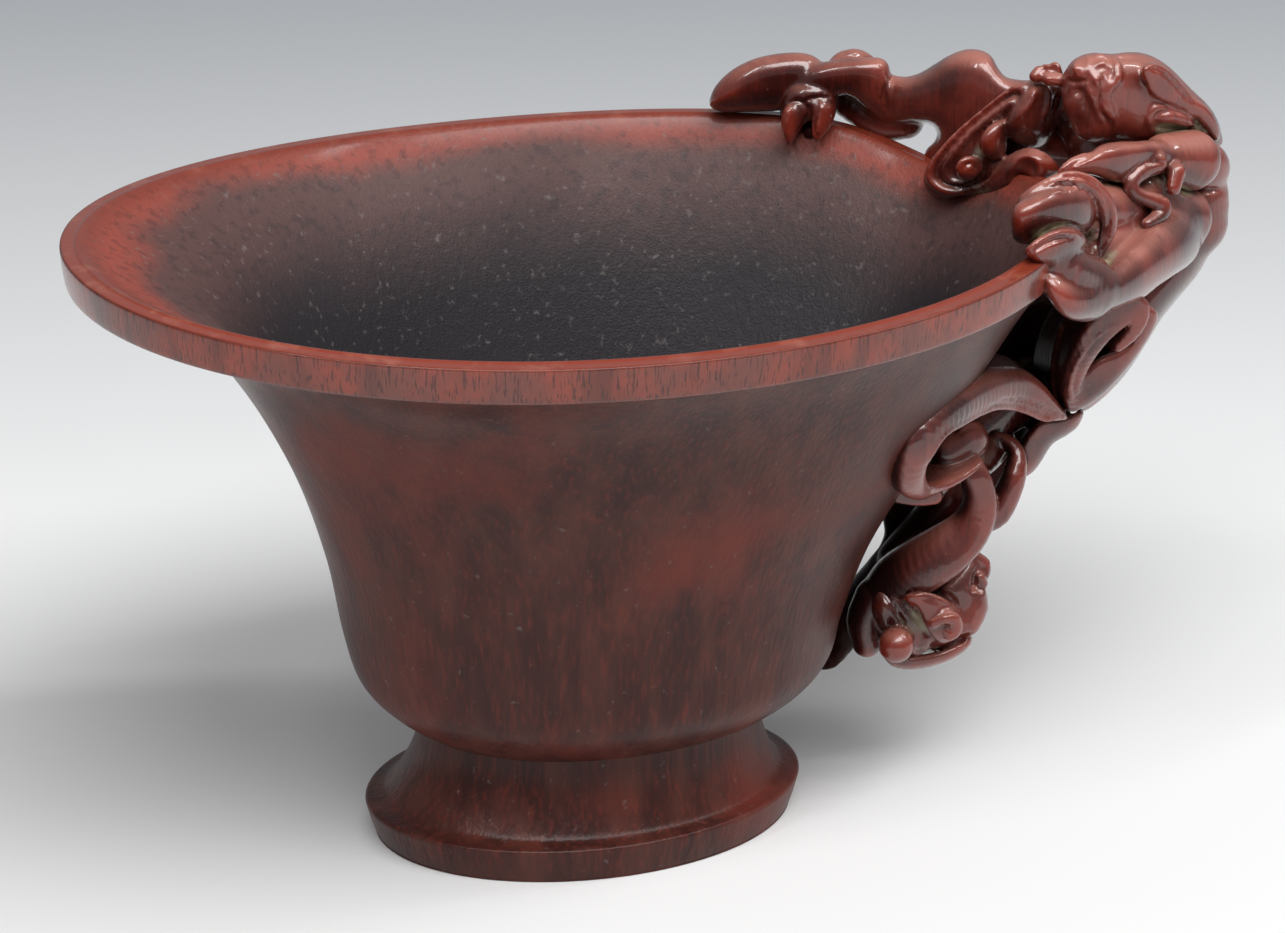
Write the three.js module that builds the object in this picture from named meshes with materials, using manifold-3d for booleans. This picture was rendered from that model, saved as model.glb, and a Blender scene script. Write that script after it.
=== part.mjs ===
import * as THREE from 'three';
import { mergeVertices } from 'three/addons/utils/BufferGeometryUtils.js';
import Module from 'manifold-3d';

// A rhinoceros horn libation cup with a handle of chilong dragons, in millimetres.
// The spout end points to -X, the handle to +X, and the cup stands on z = 0.

// Cup mouth
const spoutReach = 66.8;
const handleReach = 64.8;
const mouthHalfWidth = 47.4;
const fullness = 2.07;
const spoutHeight = 83.3;
const handleHeight = 79.3;
const sideHeight = 79.5;
const bandHeight = 4.9;
const lipWidth = 3;

// The lip sinks under the dragon that lies on it, in mm and degrees round from the handle
const dip = 4.6;
const dipTurn = 20;
const dipSpread = 16;

// Cup wall, which flares from the waist out to the mouth and draws in from the waist to its seat on the foot
const wallThickness = 3.6;
const wellFloorHeight = 26;
const spoutFlare = 35.3;
const handleFlare = 30;
const waistSpout = spoutReach - spoutFlare;
const waistHandle = handleReach - handleFlare;
const spoutTuck = 8.6;
const handleTuck = 7.6;
const seatSpout = waistSpout - spoutTuck;
const seatHandle = waistHandle - handleTuck;

// Foot
const footHeight = 15.2;
const flangeHeight = 4.7;
const flangeReach = 29;
const flangeHalfWidth = 22.1;
const neckReach = 23;
const neckLean = 1.2;
const recessDepth = 3.5;
const recessReach = 19;

// Handle
const faceTurn = 22.8;
const faceLift = 21.7;
const climberDrop = 46;

// Fits
const clearance = 0.3;
const barSides = 10;
const cupSides = 60;

const wasm = await Module();
wasm.setup();

const horn = new THREE.Color(0x4a1a12);
const bowlHorn = new THREE.Color(0x3a1a16);

function solidFrom(positions, triangles) {
  let geometry = new THREE.BufferGeometry();
  geometry.setAttribute('position', new THREE.Float32BufferAttribute(positions, 3));
  geometry.setIndex(triangles);
  geometry = mergeVertices(geometry, 1e-4);
  const mesh = new wasm.Mesh({
    numProp: 3,
    vertProperties: new Float32Array(geometry.attributes.position.array),
    triVerts: new Uint32Array(geometry.index.array),
  });
  return new wasm.Manifold(mesh);
}

// The skin between rings of points, each with its place in the list
function ringSkin(rings) {
  const positions = [];
  const triangles = [];
  const sides = rings[0].length;
  for (const ring of rings) {
    for (const p of ring) positions.push(p.x, p.y, p.z);
  }
  for (let r = 0; r + 1 < rings.length; r++) {
    for (let s = 0; s < sides; s++) {
      const a = r * sides + s;
      const b = r * sides + (s + 1) % sides;
      triangles.push(a, b, b + sides, a, b + sides, a + sides);
    }
  }
  return [positions, triangles, (rings.length - 1) * sides];
}

// A closed skin over a stack of rings, with a point at each end
function skin(rings, first, last) {
  const [positions, triangles, top] = ringSkin(rings);
  const sides = rings[0].length;
  const start = positions.length / 3;
  positions.push(first.x, first.y, first.z);
  positions.push(last.x, last.y, last.z);
  for (let s = 0; s < sides; s++) {
    const t = (s + 1) % sides;
    triangles.push(start, t, s);
    triangles.push(start + 1, top + s, top + t);
  }
  return solidFrom(positions, triangles);
}

// Shares of the reach and of the half width at a turn around the mouth, a little fuller than an oval
function shares(turn) {
  const full = (value) => Math.sign(value) * Math.abs(value) ** (2 / fullness);
  return [full(Math.cos(turn)), full(Math.sin(turn))];
}

function lipHeight(turn) {
  const [along] = shares(turn);
  const rise = (handleHeight - spoutHeight) / 2;
  const bow = (handleHeight + spoutHeight) / 2 - sideHeight;
  let off = turn * 180 / Math.PI - dipTurn;
  if (off > 180) off -= 360;
  return sideHeight + rise * along + bow * along ** 2 - dip * Math.exp(-((off / dipSpread) ** 2));
}

function oval(turn, spout, handle, half) {
  const [along, across] = shares(turn);
  return [(handle - spout) / 2 + (handle + spout) / 2 * along, half * across];
}

const waistHalf = mouthHalfWidth / 2 + 1.4;

// Wall sections from the foot up to the crease under the lip band:
// share of the height, reach to the spout, reach to the handle, half width
const sections = [
  [0, seatSpout, seatHandle, waistHalf - 5.8],
  [0.04, seatSpout + 3.5, seatHandle + 3.4, waistHalf - 3.3],
  [0.1, waistSpout - 1.9, waistHandle - 1.6, waistHalf - 1.1],
  [0.2, waistSpout, waistHandle, waistHalf],
  [0.37, waistSpout + 2.1, waistHandle + 4, waistHalf + 2.1],
  [0.57, waistSpout + 6.3, waistHandle + 11.5, waistHalf + 6.1],
  [0.77, waistSpout + 13, waistHandle + 19.4, waistHalf + 11],
  [0.9, spoutReach - 15.4, handleReach - 5.8, mouthHalfWidth - 7],
  [1, spoutReach - 4.2, handleReach - 1.6, mouthHalfWidth - 2.4],
];

// A smooth curve through the sections
function section(share) {
  let k = 0;
  while (k + 2 < sections.length && sections[k + 1][0] < share) k += 1;
  const t = (share - sections[k][0]) / (sections[k + 1][0] - sections[k][0]);
  const before = sections[Math.max(k - 1, 0)];
  const after = sections[Math.min(k + 2, sections.length - 1)];
  const [low, high] = [sections[k], sections[k + 1]];
  return low.map((value, i) => {
    const span = high[0] - low[0];
    const rise = (high[i] - value) / span;
    const startSlope = k > 0 ? (high[i] - before[i]) / (high[0] - before[0]) : rise;
    const endSlope = after !== high ? (after[i] - value) / (after[0] - low[0]) : rise;
    const a = t * t * (3 - 2 * t);
    return value + (high[i] - value) * a + span * (startSlope * t * (1 - t) ** 2 - endSlope * t * t * (1 - t));
  });
}

const bowlBase = footHeight + clearance;

// A ring of the wall; the inset is measured square to the wall
function wallRing(share, inset, grow) {
  const low = section(Math.max(share - 0.02, 0));
  const high = section(Math.min(share + 0.02, 1));
  const rise = (high[0] - low[0]) * (handleHeight - bandHeight - bowlBase);
  const size = (k) => (grow - inset) * Math.hypot(1, (high[k] - low[k]) / rise);
  const [, spout, handle, half] = section(share);
  const ring = [];
  for (let s = 0; s < cupSides; s++) {
    const turn = s / cupSides * 2 * Math.PI;
    const crease = lipHeight(turn) - bandHeight;
    const [x, y] = oval(turn, spout + size(1), handle + size(2), half + size(3));
    ring.push(new THREE.Vector3(x, y, bowlBase + (crease - bowlBase) * share));
  }
  return ring;
}

function lipRing(inset, drop, grow) {
  const ring = [];
  for (let s = 0; s < cupSides; s++) {
    const turn = s / cupSides * 2 * Math.PI;
    const size = grow - inset;
    const [x, y] = oval(turn, spoutReach + size, handleReach + size, mouthHalfWidth + size);
    ring.push(new THREE.Vector3(x, y, lipHeight(turn) - drop));
  }
  return ring;
}

function makeBowl(grow) {
  const rings = [];
  for (const share of [0, 0.02, 0.05, 0.1, 0.15, 0.2, 0.28, 0.37, 0.47, 0.57, 0.67, 0.77, 0.84, 0.91, 0.96, 0.99]) {
    rings.push(wallRing(share, 0, grow));
  }
  rings.push(lipRing(0.9, bandHeight + grow, grow));
  rings.push(lipRing(0.5, bandHeight * 0.85, grow));
  rings.push(lipRing(0.1, 0.3 - grow, grow));
  rings.push(lipRing(0.6, -grow, grow));
  rings.push(lipRing(lipWidth, 0.1 - grow, -grow));
  rings.push(lipRing(lipWidth + 2, 1.2 - grow, -grow));
  for (const share of [0.95, 0.89, 0.83, 0.77, 0.67, 0.57, 0.47, 0.37, 0.28, 0.24]) {
    rings.push(wallRing(share, wallThickness, -grow));
  }
  const low = rings[rings.length - 1];
  const middle = low.reduce((sum, p) => sum.add(p), new THREE.Vector3()).divideScalar(low.length);
  for (const [size, sink] of [[0.86, 0.5], [0.6, 0.85]]) {
    rings.push(low.map((p) => new THREE.Vector3(
      middle.x + (p.x - middle.x) * size,
      p.y * size,
      p.z + (wellFloorHeight + grow - p.z) * sink,
    )));
  }
  const under = new THREE.Vector3(0, 0, bowlBase - grow);
  const floor = new THREE.Vector3(middle.x, 0, wellFloorHeight + grow);
  return skin(rings, under, floor);
}

function footRing(reach, z, shift) {
  const ring = [];
  for (let s = 0; s < cupSides; s++) {
    const turn = s / cupSides * 2 * Math.PI;
    const half = reach * flangeHalfWidth / flangeReach;
    ring.push(new THREE.Vector3(reach * Math.cos(turn) + shift, half * Math.sin(turn), z));
  }
  return ring;
}

function makeFoot() {
  const rings = [
    footRing(recessReach, recessDepth, 0),
    footRing(recessReach + 2, 0, 0),
    footRing(flangeReach - 1.6, 0, 0),
    footRing(flangeReach - 0.7, flangeHeight * 0.4, 0),
    footRing(flangeReach, flangeHeight * 0.88, 0),
    footRing(flangeReach - 0.5, flangeHeight, 0),
    footRing(neckReach + 3.8, flangeHeight + 0.3, 0),
    footRing(neckReach + 2.6, flangeHeight + 1.6, 0.1),
    footRing(neckReach + 1.4, flangeHeight + 3.7, neckLean * 0.25),
    footRing(neckReach + 0.5, flangeHeight + 5.9, neckLean * 0.5),
    footRing(neckReach, flangeHeight + 8.4, neckLean * 0.75),
    footRing(neckReach, footHeight, neckLean),
  ];
  return skin(rings, new THREE.Vector3(0, 0, recessDepth), new THREE.Vector3(neckLean, 0, footHeight));
}

// Reach of the wall towards the handle at a height
function wallReach(z) {
  const share = (z - bowlBase) / (handleHeight - bandHeight - bowlBase);
  return section(Math.min(Math.max(share, 0), 1))[2];
}

const seats = {
  lip: { reach: handleReach, side: 1 },
  wall: { reach: wallReach(handleHeight - climberDrop), side: 1 },
  farLip: { reach: handleReach, side: -1 },
};

// Handle points are [out, side, drop]: out from the seat, side to the far side, drop below the lip.
// The far seat mirrors them across the middle of the cup.
function place(seat, [out, side, drop]) {
  return new THREE.Vector3(seats[seat].reach + out, seats[seat].side * side, handleHeight - drop);
}

// The carved faces look to the near side, a little up and to the spout
const turnAngle = THREE.MathUtils.degToRad(faceTurn);
const liftAngle = THREE.MathUtils.degToRad(faceLift);
const faceAcross = new THREE.Vector3(Math.cos(turnAngle), -Math.sin(turnAngle), 0);
const faceWay = new THREE.Vector3(
  -Math.sin(turnAngle) * Math.cos(liftAngle),
  -Math.cos(turnAngle) * Math.cos(liftAngle),
  Math.sin(liftAngle),
);
const faceUp = faceWay.clone().cross(faceAcross);

// The line through the points of a limb, with its radius at each step
function route(seat, points, grow) {
  const path = new THREE.CatmullRomCurve3(points.map((p) => place(seat, p)), false, 'centripetal');
  const steps = (points.length - 1) * 2;
  const frames = path.computeFrenetFrames(steps, false);
  const line = [];
  for (let k = 0; k <= steps; k++) {
    const i = Math.min(Math.floor(k / 2), points.length - 2);
    const radius = points[i][3] + (points[i + 1][3] - points[i][3]) * (k / 2 - i) + grow;
    line.push({
      at: path.getPoint(k / steps),
      along: frames.tangents[k],
      out: frames.normals[k],
      side: frames.binormals[k],
      radius,
    });
  }
  return line;
}

function ringAt(spot, push, size, depth, sharp) {
  const ring = [];
  const centre = spot.at.clone().addScaledVector(spot.along, push);
  for (let s = 0; s < barSides; s++) {
    const turn = (s + 0.5) / barSides * 2 * Math.PI;
    const full = (value) => Math.sign(value) * Math.abs(value) ** sharp;
    ring.push(centre.clone()
      .addScaledVector(spot.out, full(Math.cos(turn)) * spot.radius * size)
      .addScaledVector(spot.side, full(Math.sin(turn)) * depth * size));
  }
  return ring;
}

function sweep(line, depthAt, sharp) {
  const first = line[0];
  const last = line[line.length - 1];
  const rings = [ringAt(first, -first.radius * 0.6, 0.75, depthAt(first), sharp)];
  for (const spot of line) rings.push(ringAt(spot, 0, 1, depthAt(spot), sharp));
  rings.push(ringAt(last, last.radius * 0.6, 0.75, depthAt(last), sharp));
  const tip = first.at.clone().addScaledVector(first.along, -first.radius);
  const tail = last.at.clone().addScaledVector(last.along, last.radius);
  return skin(rings, tip, tail);
}

// A round limb through [out, side, drop, radius]
const bar = (...points) => (seat, grow) => sweep(route(seat, points, grow), (spot) => spot.radius, 1);

// A flat curl through the same, its broad face to the side
const band = (depth, ...points) => (seat, grow) => {
  const across = new THREE.Vector3(0, 1, 0);
  const line = route(seat, points, grow);
  for (const spot of line) {
    spot.out = across.clone().cross(spot.along).normalize();
    spot.side = across;
    spot.along = spot.out.clone().cross(across);
  }
  return sweep(line, () => depth + grow, 0.55);
};

function outlineOf(seat, outline, steps) {
  const curve = new THREE.CatmullRomCurve3(outline.map((p) => place(seat, p)), true, 'centripetal');
  const ring = curve.getPoints(outline.length * steps).slice(0, -1);
  const area = ring.reduce((sum, p, k) => {
    const q = ring[(k + 1) % ring.length];
    return sum + p.dot(faceAcross) * q.dot(faceUp) - q.dot(faceAcross) * p.dot(faceUp);
  }, 0);
  return area > 0 ? ring : ring.reverse();
}

// The outline moved outwards, and to the front
function offset(ring, out, front) {
  return ring.map((p, k) => {
    const along = ring[(k + 1) % ring.length].clone().sub(ring[(k + ring.length - 1) % ring.length]);
    const way = along.cross(faceWay).normalize();
    return p.clone().addScaledVector(way, out).addScaledVector(faceWay, front);
  });
}

// A swelling inside an outline, rounded to the front and the back
const dome = (depth, ...outline) => (seat, grow) => {
  const ring = offset(outlineOf(seat, outline, 2), grow, 0);
  const middle = ring.reduce((sum, p) => sum.add(p), new THREE.Vector3()).divideScalar(ring.length);
  const full = depth + grow;
  const at = (size, rise) => ring.map((p) => middle.clone().lerp(p, size).addScaledVector(faceWay, rise * full));
  const rings = [at(0.5, -0.92), at(0.82, -0.66), at(0.96, -0.36), at(1, 0), at(0.96, 0.36), at(0.82, 0.66),
    at(0.5, 0.92)];
  const reach = faceWay.clone().multiplyScalar(full);
  return skin(rings, middle.clone().sub(reach), middle.clone().add(reach));
};

// A flat form cut to an outline, its face an edge in front of it
const plate = (thick, edge, ...outline) => (seat, grow) => {
  const ring = offset(outlineOf(seat, outline, 1), grow, 0);
  const rings = [
    offset(ring, -edge * 0.8, edge - thick - grow),
    offset(ring, 0, 2 * edge - thick - grow),
    offset(ring, 0, grow * 0.5),
    offset(ring, -edge * 0.8, edge + grow),
  ];
  const [positions, triangles, top] = ringSkin(rings);
  const flat = ring.map((p) => new THREE.Vector2(p.dot(faceAcross), p.dot(faceUp)));
  for (const [a, b, c] of THREE.ShapeUtils.triangulateShape(flat, [])) {
    triangles.push(top + a, top + b, top + c);
    triangles.push(a, c, b);
  }
  return solidFrom(positions, triangles);
};

const upperCurl = band(4.7, [-2.2, -10, 27, 1.4], [-3.3, -11.5, 24, 1.6], [-3, -13, 20, 1.9], [-2, -14.5, 16.5, 2.2],
  [0, -15, 14, 2.3], [2.5, -15, 13, 2.2], [4, -15, 13.4, 1.7], [4, -15, 15, 1.4], [2, -14, 18.3, 0.9]);
const curlBack = plate(8, 1.2, [4.8, -15.6, 13], [7.3, -15.7, 14.3], [9, -15.6, 16], [8, -15.4, 19],
  [5.8, -15, 22], [3.2, -14.8, 25], [0.8, -14.5, 27], [-1.4, -14.3, 28], [-2.8, -14.4, 26.5], [-3, -14.5, 24],
  [-1, -14.7, 22.4], [1, -15, 21], [3.5, -15, 20], [5.4, -15.3, 18.5]);
const lowerCurl = band(4, [-3.5, -11, 29, 0.8], [-6.3, -12, 27, 1.7], [-9.3, -13, 24.6, 2.4], [-12.3, -14, 22.7, 2.8],
  [-15.8, -16, 21.4, 2.9], [-19.8, -18.5, 21, 2.9], [-23.8, -21.5, 21, 2.8], [-27.3, -23.5, 22, 2.6],
  [-29.8, -24.5, 24, 2.5], [-30.4, -23.5, 27, 2.4], [-29.4, -21.5, 30, 2.1], [-26.8, -18.5, 32.6, 1.4],
  [-24, -16.5, 33.5, 1], [-18, -13.5, 33.3, 0.8]);

const pieces = [
  ['crest_dragon_paw', 'lip', [
    dome(2.9, [-17.7, -30.4, -1.3], [-14.3, -29.2, -2.8], [-11.8, -28.3, -3.1], [-9, -27.5, -2.3], [-7, -26.5, 0.4],
      [-10.2, -27.6, 1.6], [-12.2, -28.3, 2], [-15.5, -29.5, 1]),
  ]],
  ['crest_dragon_haunch', 'lip', [
    dome(4.7, [-16.7, -24.4, -3.5], [-15.2, -24, -5.7], [-12, -23.3, -6.4], [-8.5, -22.5, -6.5], [-5.5, -21.5, -5.5],
      [-3.5, -21, -3.8], [-2.7, -20.7, -1], [-4.8, -21, 1.5], [-9, -22.3, 0.7], [-13, -23.3, 0.6], [-16, -24.2, -0.7]),
    bar([-13.4, -24, -6.5, 0.8], [-8, -23.5, -7.4, 1], [-3.4, -22.5, -4, 1.2], [-1.7, -21.5, 1, 1.1],
      [-3.4, -21, 5, 0.7]),
    bar([-8.8, -18, -0.8, 3], [-2.4, -15, 0.6, 3.6], [4, -11, 2.8, 4], [11.5, -7, 3.6, 4]),
  ]],
  ['crest_dragon_flank', 'lip', [
    bar([-12.2, -28, 5, 3], [-8.5, -26.3, 7.2, 3.7], [-3.5, -23.5, 9, 3], [0.5, -20.8, 9.2, 3.1],
      [4.8, -17.5, 9, 3.5], [9, -14, 8.6, 3.7], [13, -10.8, 8.2, 3.8], [16.5, -8, 8, 3]),
    bar([-12.6, -28, 0.5, 2.2], [-10.7, -27, 3.2, 3.2]),
    bar([-9.2, -22, 4.1, 3], [-2.5, -17, 6.2, 4], [4, -12, 6.3, 4.2], [11, -8, 5.6, 4.2]),
  ]],
  ['crest_dragon_forearm', 'lip', [
    bar([-4.6, -13.9, -4.7, 0.9], [-1.5, -13, -5, 1.5], [1.2, -12.2, -5, 1.8], [4.5, -11, -4, 2.5],
      [8.5, -9.8, -3.9, 2.1], [12, -8.5, -3, 2.2], [14, -7.9, -0.8, 1.9]),
    dome(2.4, [9.3, -11.3, -2.8], [7, -12.5, -2.7], [4.9, -14, -1.8], [3.8, -15, -0.6], [4.2, -15.4, 0.8],
      [7, -15, 3.4], [9.8, -13.6, 3.1], [11.9, -12.2, 2.4], [11.5, -11.9, 0.8], [10.2, -11.7, -1.2]),
    bar([13.4, -7.2, -2, 3], [18.3, -5, -0.4, 3.8]),
  ]],
  ['crest_dragon_mane', 'lip', [
    plate(5, 0.9, [11, -5.9, -14.5], [12.7, -5.7, -14.4], [14.6, -5.3, -13.2], [16.8, -4.7, -11], [18.9, -4.1, -8.6],
      [20.9, -3.7, -7], [22.7, -3.2, -5], [23.7, -2.8, -2.5], [23, -2.8, -1.7], [21, -3.3, -4], [18.4, -3.9, -6.3],
      [15, -4.6, -8], [12.7, -5, -9.6], [11.2, -5.5, -11.5], [10.5, -5.8, -13.4]),
  ]],
  ['crest_dragon_head', 'lip', [
    dome(6, [2.9, 0.5, -11.6], [3.2, 0.5, -13.4], [4.8, 0.5, -14.6], [8, 0.5, -14.6], [12, 0.5, -14.2],
      [16.5, 0.5, -12.4], [21, 0.5, -8], [24.8, 0.5, -3.6], [25.7, 0.5, -0.5], [22, 0.5, 0.2], [17.5, 0.5, -0.5],
      [12.4, 0.5, -1.3], [8.5, 0.5, -2.3], [5.6, 0.5, -6], [4, 0.5, -8.7]),
    bar([4.2, 0, -11, 2], [4.8, -1, -9, 2.7], [6.2, -1.5, -6.6, 3]),
  ]],
  ['crest_dragon_shoulder', 'lip', [
    dome(5.4, [15.5, -2, -1.4], [17.5, -2, -2.5], [20, -2, -2.5], [22.6, -2, -1.6], [24.6, -2, 0], [25.8, -2, 2.4],
      [24.8, -2, 4.8], [22, -2, 5.2], [19.5, -2, 4.2], [17.6, -2, 2.2]),
    bar([10, 3, 0.5, 4.6], [15.9, 3, 3, 5.6], [20.4, 2, 6.3, 5.4], [21.4, 1, 10, 4]),
  ]],
  ['rim_dragon_mane', 'lip', [
    plate(5, 1.4, [-0.3, 5.7, -10], [-2.4, 7.3, -8.3], [-4.5, 8.9, -5.7], [-7, 10.8, -2.6], [-9, 12.3, 0],
      [-10.2, 13.2, 1.9], [-10.9, 13.7, 3.6], [-10.9, 13.7, 5], [-10.2, 13.2, 6.2], [-8.5, 11.8, 6.7],
      [-6.2, 10, 5.7], [-4.4, 8.7, 4.7], [-2.7, 7.4, 3.5], [-2, 6.9, 1.2], [-2.9, 7.6, -0.8], [-4, 8.4, -2],
      [-3.2, 7.8, -4], [-1.5, 6.6, -6.5], [-0.3, 5.7, -8.5]),
    dome(2.4, [-2.2, 6.5, -4.8], [-4, 6.5, -5], [-5.6, 6.5, -4], [-6.5, 6.5, -2.5], [-5.9, 6.5, -0.8],
      [-4.7, 6.5, 0.2], [-3, 6.5, 0.2], [-2.4, 6.5, -1.5]),
    dome(1.6, [-9, 7.6, 2], [-8.8, 7.6, 0.4], [-7.5, 7.6, -0.3], [-5.8, 7.6, 0.4], [-5.3, 7.6, 2], [-6.5, 7.6, 3],
      [-8, 7.6, 3]),
  ]],
  ['rim_dragon_head', 'lip', [
    dome(4.4, [-1.3, 7, -7], [-0.2, 7, -9], [1.3, 7, -10.1], [3.6, 7, -10.1], [5.6, 7, -9.2], [6.8, 7, -7],
      [5.6, 7, -4.4], [4.4, 7, -1.8], [2, 7, -0.4], [-0.8, 7, -1.3], [-2.8, 7, -4]),
    bar([-0.2, 3, -11.9, 1.2], [1, 2.8, -12.2, 1.5], [2.2, 2.4, -12.2, 1.3]),
    bar([1.2, 2.8, -11.8, 1.6], [1.8, 5, -9.6, 2]),
  ]],
  ['rim_dragon_foreleg', 'lip', [
    bar([-21, 31.6, -2.4, 1.8], [-19.6, 30.9, -4.2, 2.6], [-17, 29.4, -5.4, 2.6], [-14, 27.8, -5.4, 3],
      [-12, 26.8, -4, 3.4], [-11, 26.2, -1.9, 2.4]),
    plate(4, 1.3, [-25.4, 30.6, -2], [-23.2, 31, -2.3], [-20.8, 31.2, -2.2], [-19.6, 31, -0.9], [-20.5, 30.5, 0.5],
      [-21.9, 30, 1.8], [-23.3, 29.5, 3], [-23.8, 29.6, 2.3], [-25, 30, 0]),
    plate(4, 1.3, [-19.3, 29, -2.8], [-17.4, 29.2, -2.9], [-16.6, 29, -1.5], [-17, 28.5, 0], [-18.4, 28, 1.3],
      [-19.7, 27.8, 2.5], [-20.4, 28, 1.4], [-19.8, 28.5, -0.8]),
  ]],
  ['rim_dragon_haunch', 'lip', [
    dome(3.3, [-30.6, 38, -0.6], [-30, 37.6, -2.6], [-28.7, 37, -4.8], [-26.5, 36, -6.8], [-22, 34.4, -8],
      [-18, 33, -7.5], [-16.3, 32.3, -5.6], [-17.2, 32.8, -3], [-19.2, 33.6, -0.9], [-22, 34.6, 0], [-26.5, 36.4, 0.2]),
  ]],
  ['rim_dragon_hip', 'lip', [
    dome(2.5, [-15.3, 34, -5.8], [-14.2, 34, -7.1], [-12.2, 34, -7.5], [-10.2, 34, -6.9], [-8.8, 34, -5.5],
      [-9.8, 34, -4], [-13, 34, -3.8]),
    bar([-12.8, 33, -0.6, 1.8], [-11, 31.2, 0.8, 2.1], [-8.8, 28.4, 1.4, 2.2], [-6.5, 25.4, 0.8, 2]),
    bar([-11.5, 34, -4.6, 2.2], [-12.5, 33.4, -1, 2]),
  ]],
  ['rim_dragon_body', 'lip', [
    bar([-9.8, 26.3, -2.8, 3.1], [-7.4, 24, -3.1, 3.4], [-4.4, 21, -4, 4.6], [-2, 18.8, -5.6, 4.8], [1, 16, -5.1, 3.4],
      [4, 13, -5.8, 2]),
    bar([-3, 19.6, -1.6, 3.4], [-5, 20.8, 1.6, 2], [-6.3, 21.8, 4.2, 1]),
  ]],
  ['rim_dragon_shoulder', 'lip', [
    dome(4.4, [-5.6, 13, 7.5], [-4.6, 11.3, 5], [-3, 8.5, 1.9], [-1, 5.7, -0.9], [0.8, 4.2, -1.3], [3, 3, 0.2],
      [3.7, 3.6, 2.8], [2.5, 5.4, 4.7], [0.1, 8.6, 7.5], [-3, 11, 7.5]),
    bar([0.2, 14, -0.6, 4.4], [5.9, 15, 1.6, 5], [10.9, 14.5, 2.6, 5], [14.5, 12, 2, 4.6]),
    bar([8.2, 11, -3.2, 2.2], [11.2, 9.6, -0.8, 3]),
  ]],
  ['handle_trunk', 'lip', [
    bar([23.3, 0, 7, 2.8], [23.3, 0.2, 10, 3], [22, -0.2, 13.3, 3.2], [19.2, -1, 16.5, 3.3], [15.9, -2, 19.3, 3.2],
      [12.4, -2.9, 22.4, 2.8], [8.4, -4, 26.4, 2.8], [5, -5, 29, 2.4], [2.8, -5.6, 30.6, 1.4]),
  ]],
  ['upper_tail_curl', 'lip', [upperCurl, curlBack]],
  ['lower_tail_curl', 'lip', [lowerCurl]],
  ['far_upper_curl', 'farLip', [upperCurl, curlBack]],
  ['far_lower_curl', 'farLip', [lowerCurl]],
  ['tail_curl_knob', 'lip', [
    dome(3, [-18, -12, 29.4], [-17, -12, 28.3], [-15.6, -12, 28], [-14, -12, 29], [-13.2, -12, 31], [-13.5, -12, 32.8],
      [-15, -12, 34], [-17, -12, 33.8]),
    bar([-20, -13, 32, 2.4], [-16.2, -12, 31, 2.4]),
  ]],
  ['tail_strip', 'lip', [
    plate(6, 1.2, [0, -12.4, 29], [0, -11.5, 31.4], [-1, -10.7, 32.7], [-2.7, -9.7, 34], [-3.3, -9, 35.5],
      [-3.7, -8.2, 37], [-4.5, -7.4, 38.7], [-5.4, -6.8, 39.5], [-6.2, -7, 38.3], [-6.5, -7.8, 36.3], [-7.2, -8.6, 34],
      [-6.6, -9.6, 32], [-5.2, -10.6, 30.3], [-2.5, -11.5, 30]),
  ]],
  ['climbing_dragon_body', 'wall', [
    bar([10.4, -12.5, 33.5, 1.5], [11.8, -13, 35.4, 2], [12.6, -13, 38.5, 2.2], [12.3, -12.9, 41, 2.5],
      [10.9, -12.4, 43.6, 3], [8.7, -11.5, 45.8, 3.4], [5.9, -10, 48.2, 3.6], [3.9, -8, 50.6, 3.5], [2.4, -6, 53.4, 3]),
    bar([11.4, -6, 41.6, 2.6], [9.4, -4, 46, 3], [6.3, -3, 50.1, 3]),
  ]],
  ['climbing_dragon_paw', 'wall', [
    bar([17.1, -9, 32.4, 0.9], [18.5, -10, 33.2, 1.1], [19, -11, 34.8, 1.3], [18.1, -12, 37, 1.6],
      [17.1, -12, 39.4, 1.8], [16, -12, 41.6, 1.7], [15.1, -12, 42.8, 1.1]),
    bar([19, -6, 34.1, 2], [15.9, -8, 34.6, 2.6], [13.4, -10, 35.4, 2]),
  ]],
  ['climbing_dragon_ear', 'wall', [
    dome(2.4, [2.1, -13, 50.9], [4.1, -13, 50.2], [6.7, -13, 51.1], [8.8, -13, 52.7], [10.2, -13, 54.4],
      [10.2, -13, 56.6], [9.1, -13, 58.1], [7.2, -13, 58], [5.6, -13, 56.2], [4.3, -13, 53.6]),
  ]],
  ['climbing_dragon_head', 'wall', [
    dome(5, [13.4, -8, 48], [16.5, -8, 49.8], [16.8, -8, 51.8], [16.2, -8, 54], [16, -8, 56.4], [15.4, -8, 58.2],
      [14, -8, 60], [11, -8, 61.2], [7, -8, 61.4], [3.5, -8, 60.4], [0.8, -8, 57], [0, -8, 53.5], [2, -8, 51.2],
      [6.2, -8, 52], [10, -8, 51]),
    bar([-0.4, -16.5, 55.7, 2.2], [1.5, -13, 56, 2]),
    bar([12.8, -10, 53, 2.3], [12.6, -10.6, 55.4, 2.3]),
  ]],
  ['climbing_dragon_jaw', 'wall', [
    bar([1.6, -11, 60.2, 1], [4.6, -11, 61, 1.4], [8, -11, 61, 1.5], [11, -11, 60.6, 1.4], [13, -11, 59.5, 0.9]),
  ]],
  ['climbing_dragon_leg', 'wall', [
    bar([6.3, 0, 53.3, 3.2], [4, 2, 57, 3.1], [2.4, 4, 60.4, 2.4], [1, 4, 63.6, 1.9], [-0.6, 4.2, 66, 1.2]),
    plate(5, 2, [6.5, 2, 44], [11.4, 2, 44.3], [16.5, 2, 44.8], [18.1, 2, 46.8], [15.5, 2, 49.2], [10.4, 2, 51.5],
      [7.9, 2, 53.7], [5.8, 2, 55], [3.8, 2, 54.4], [4.7, 2, 51.7], [6.3, 2, 48.4], [6.1, 2, 46]),
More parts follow.
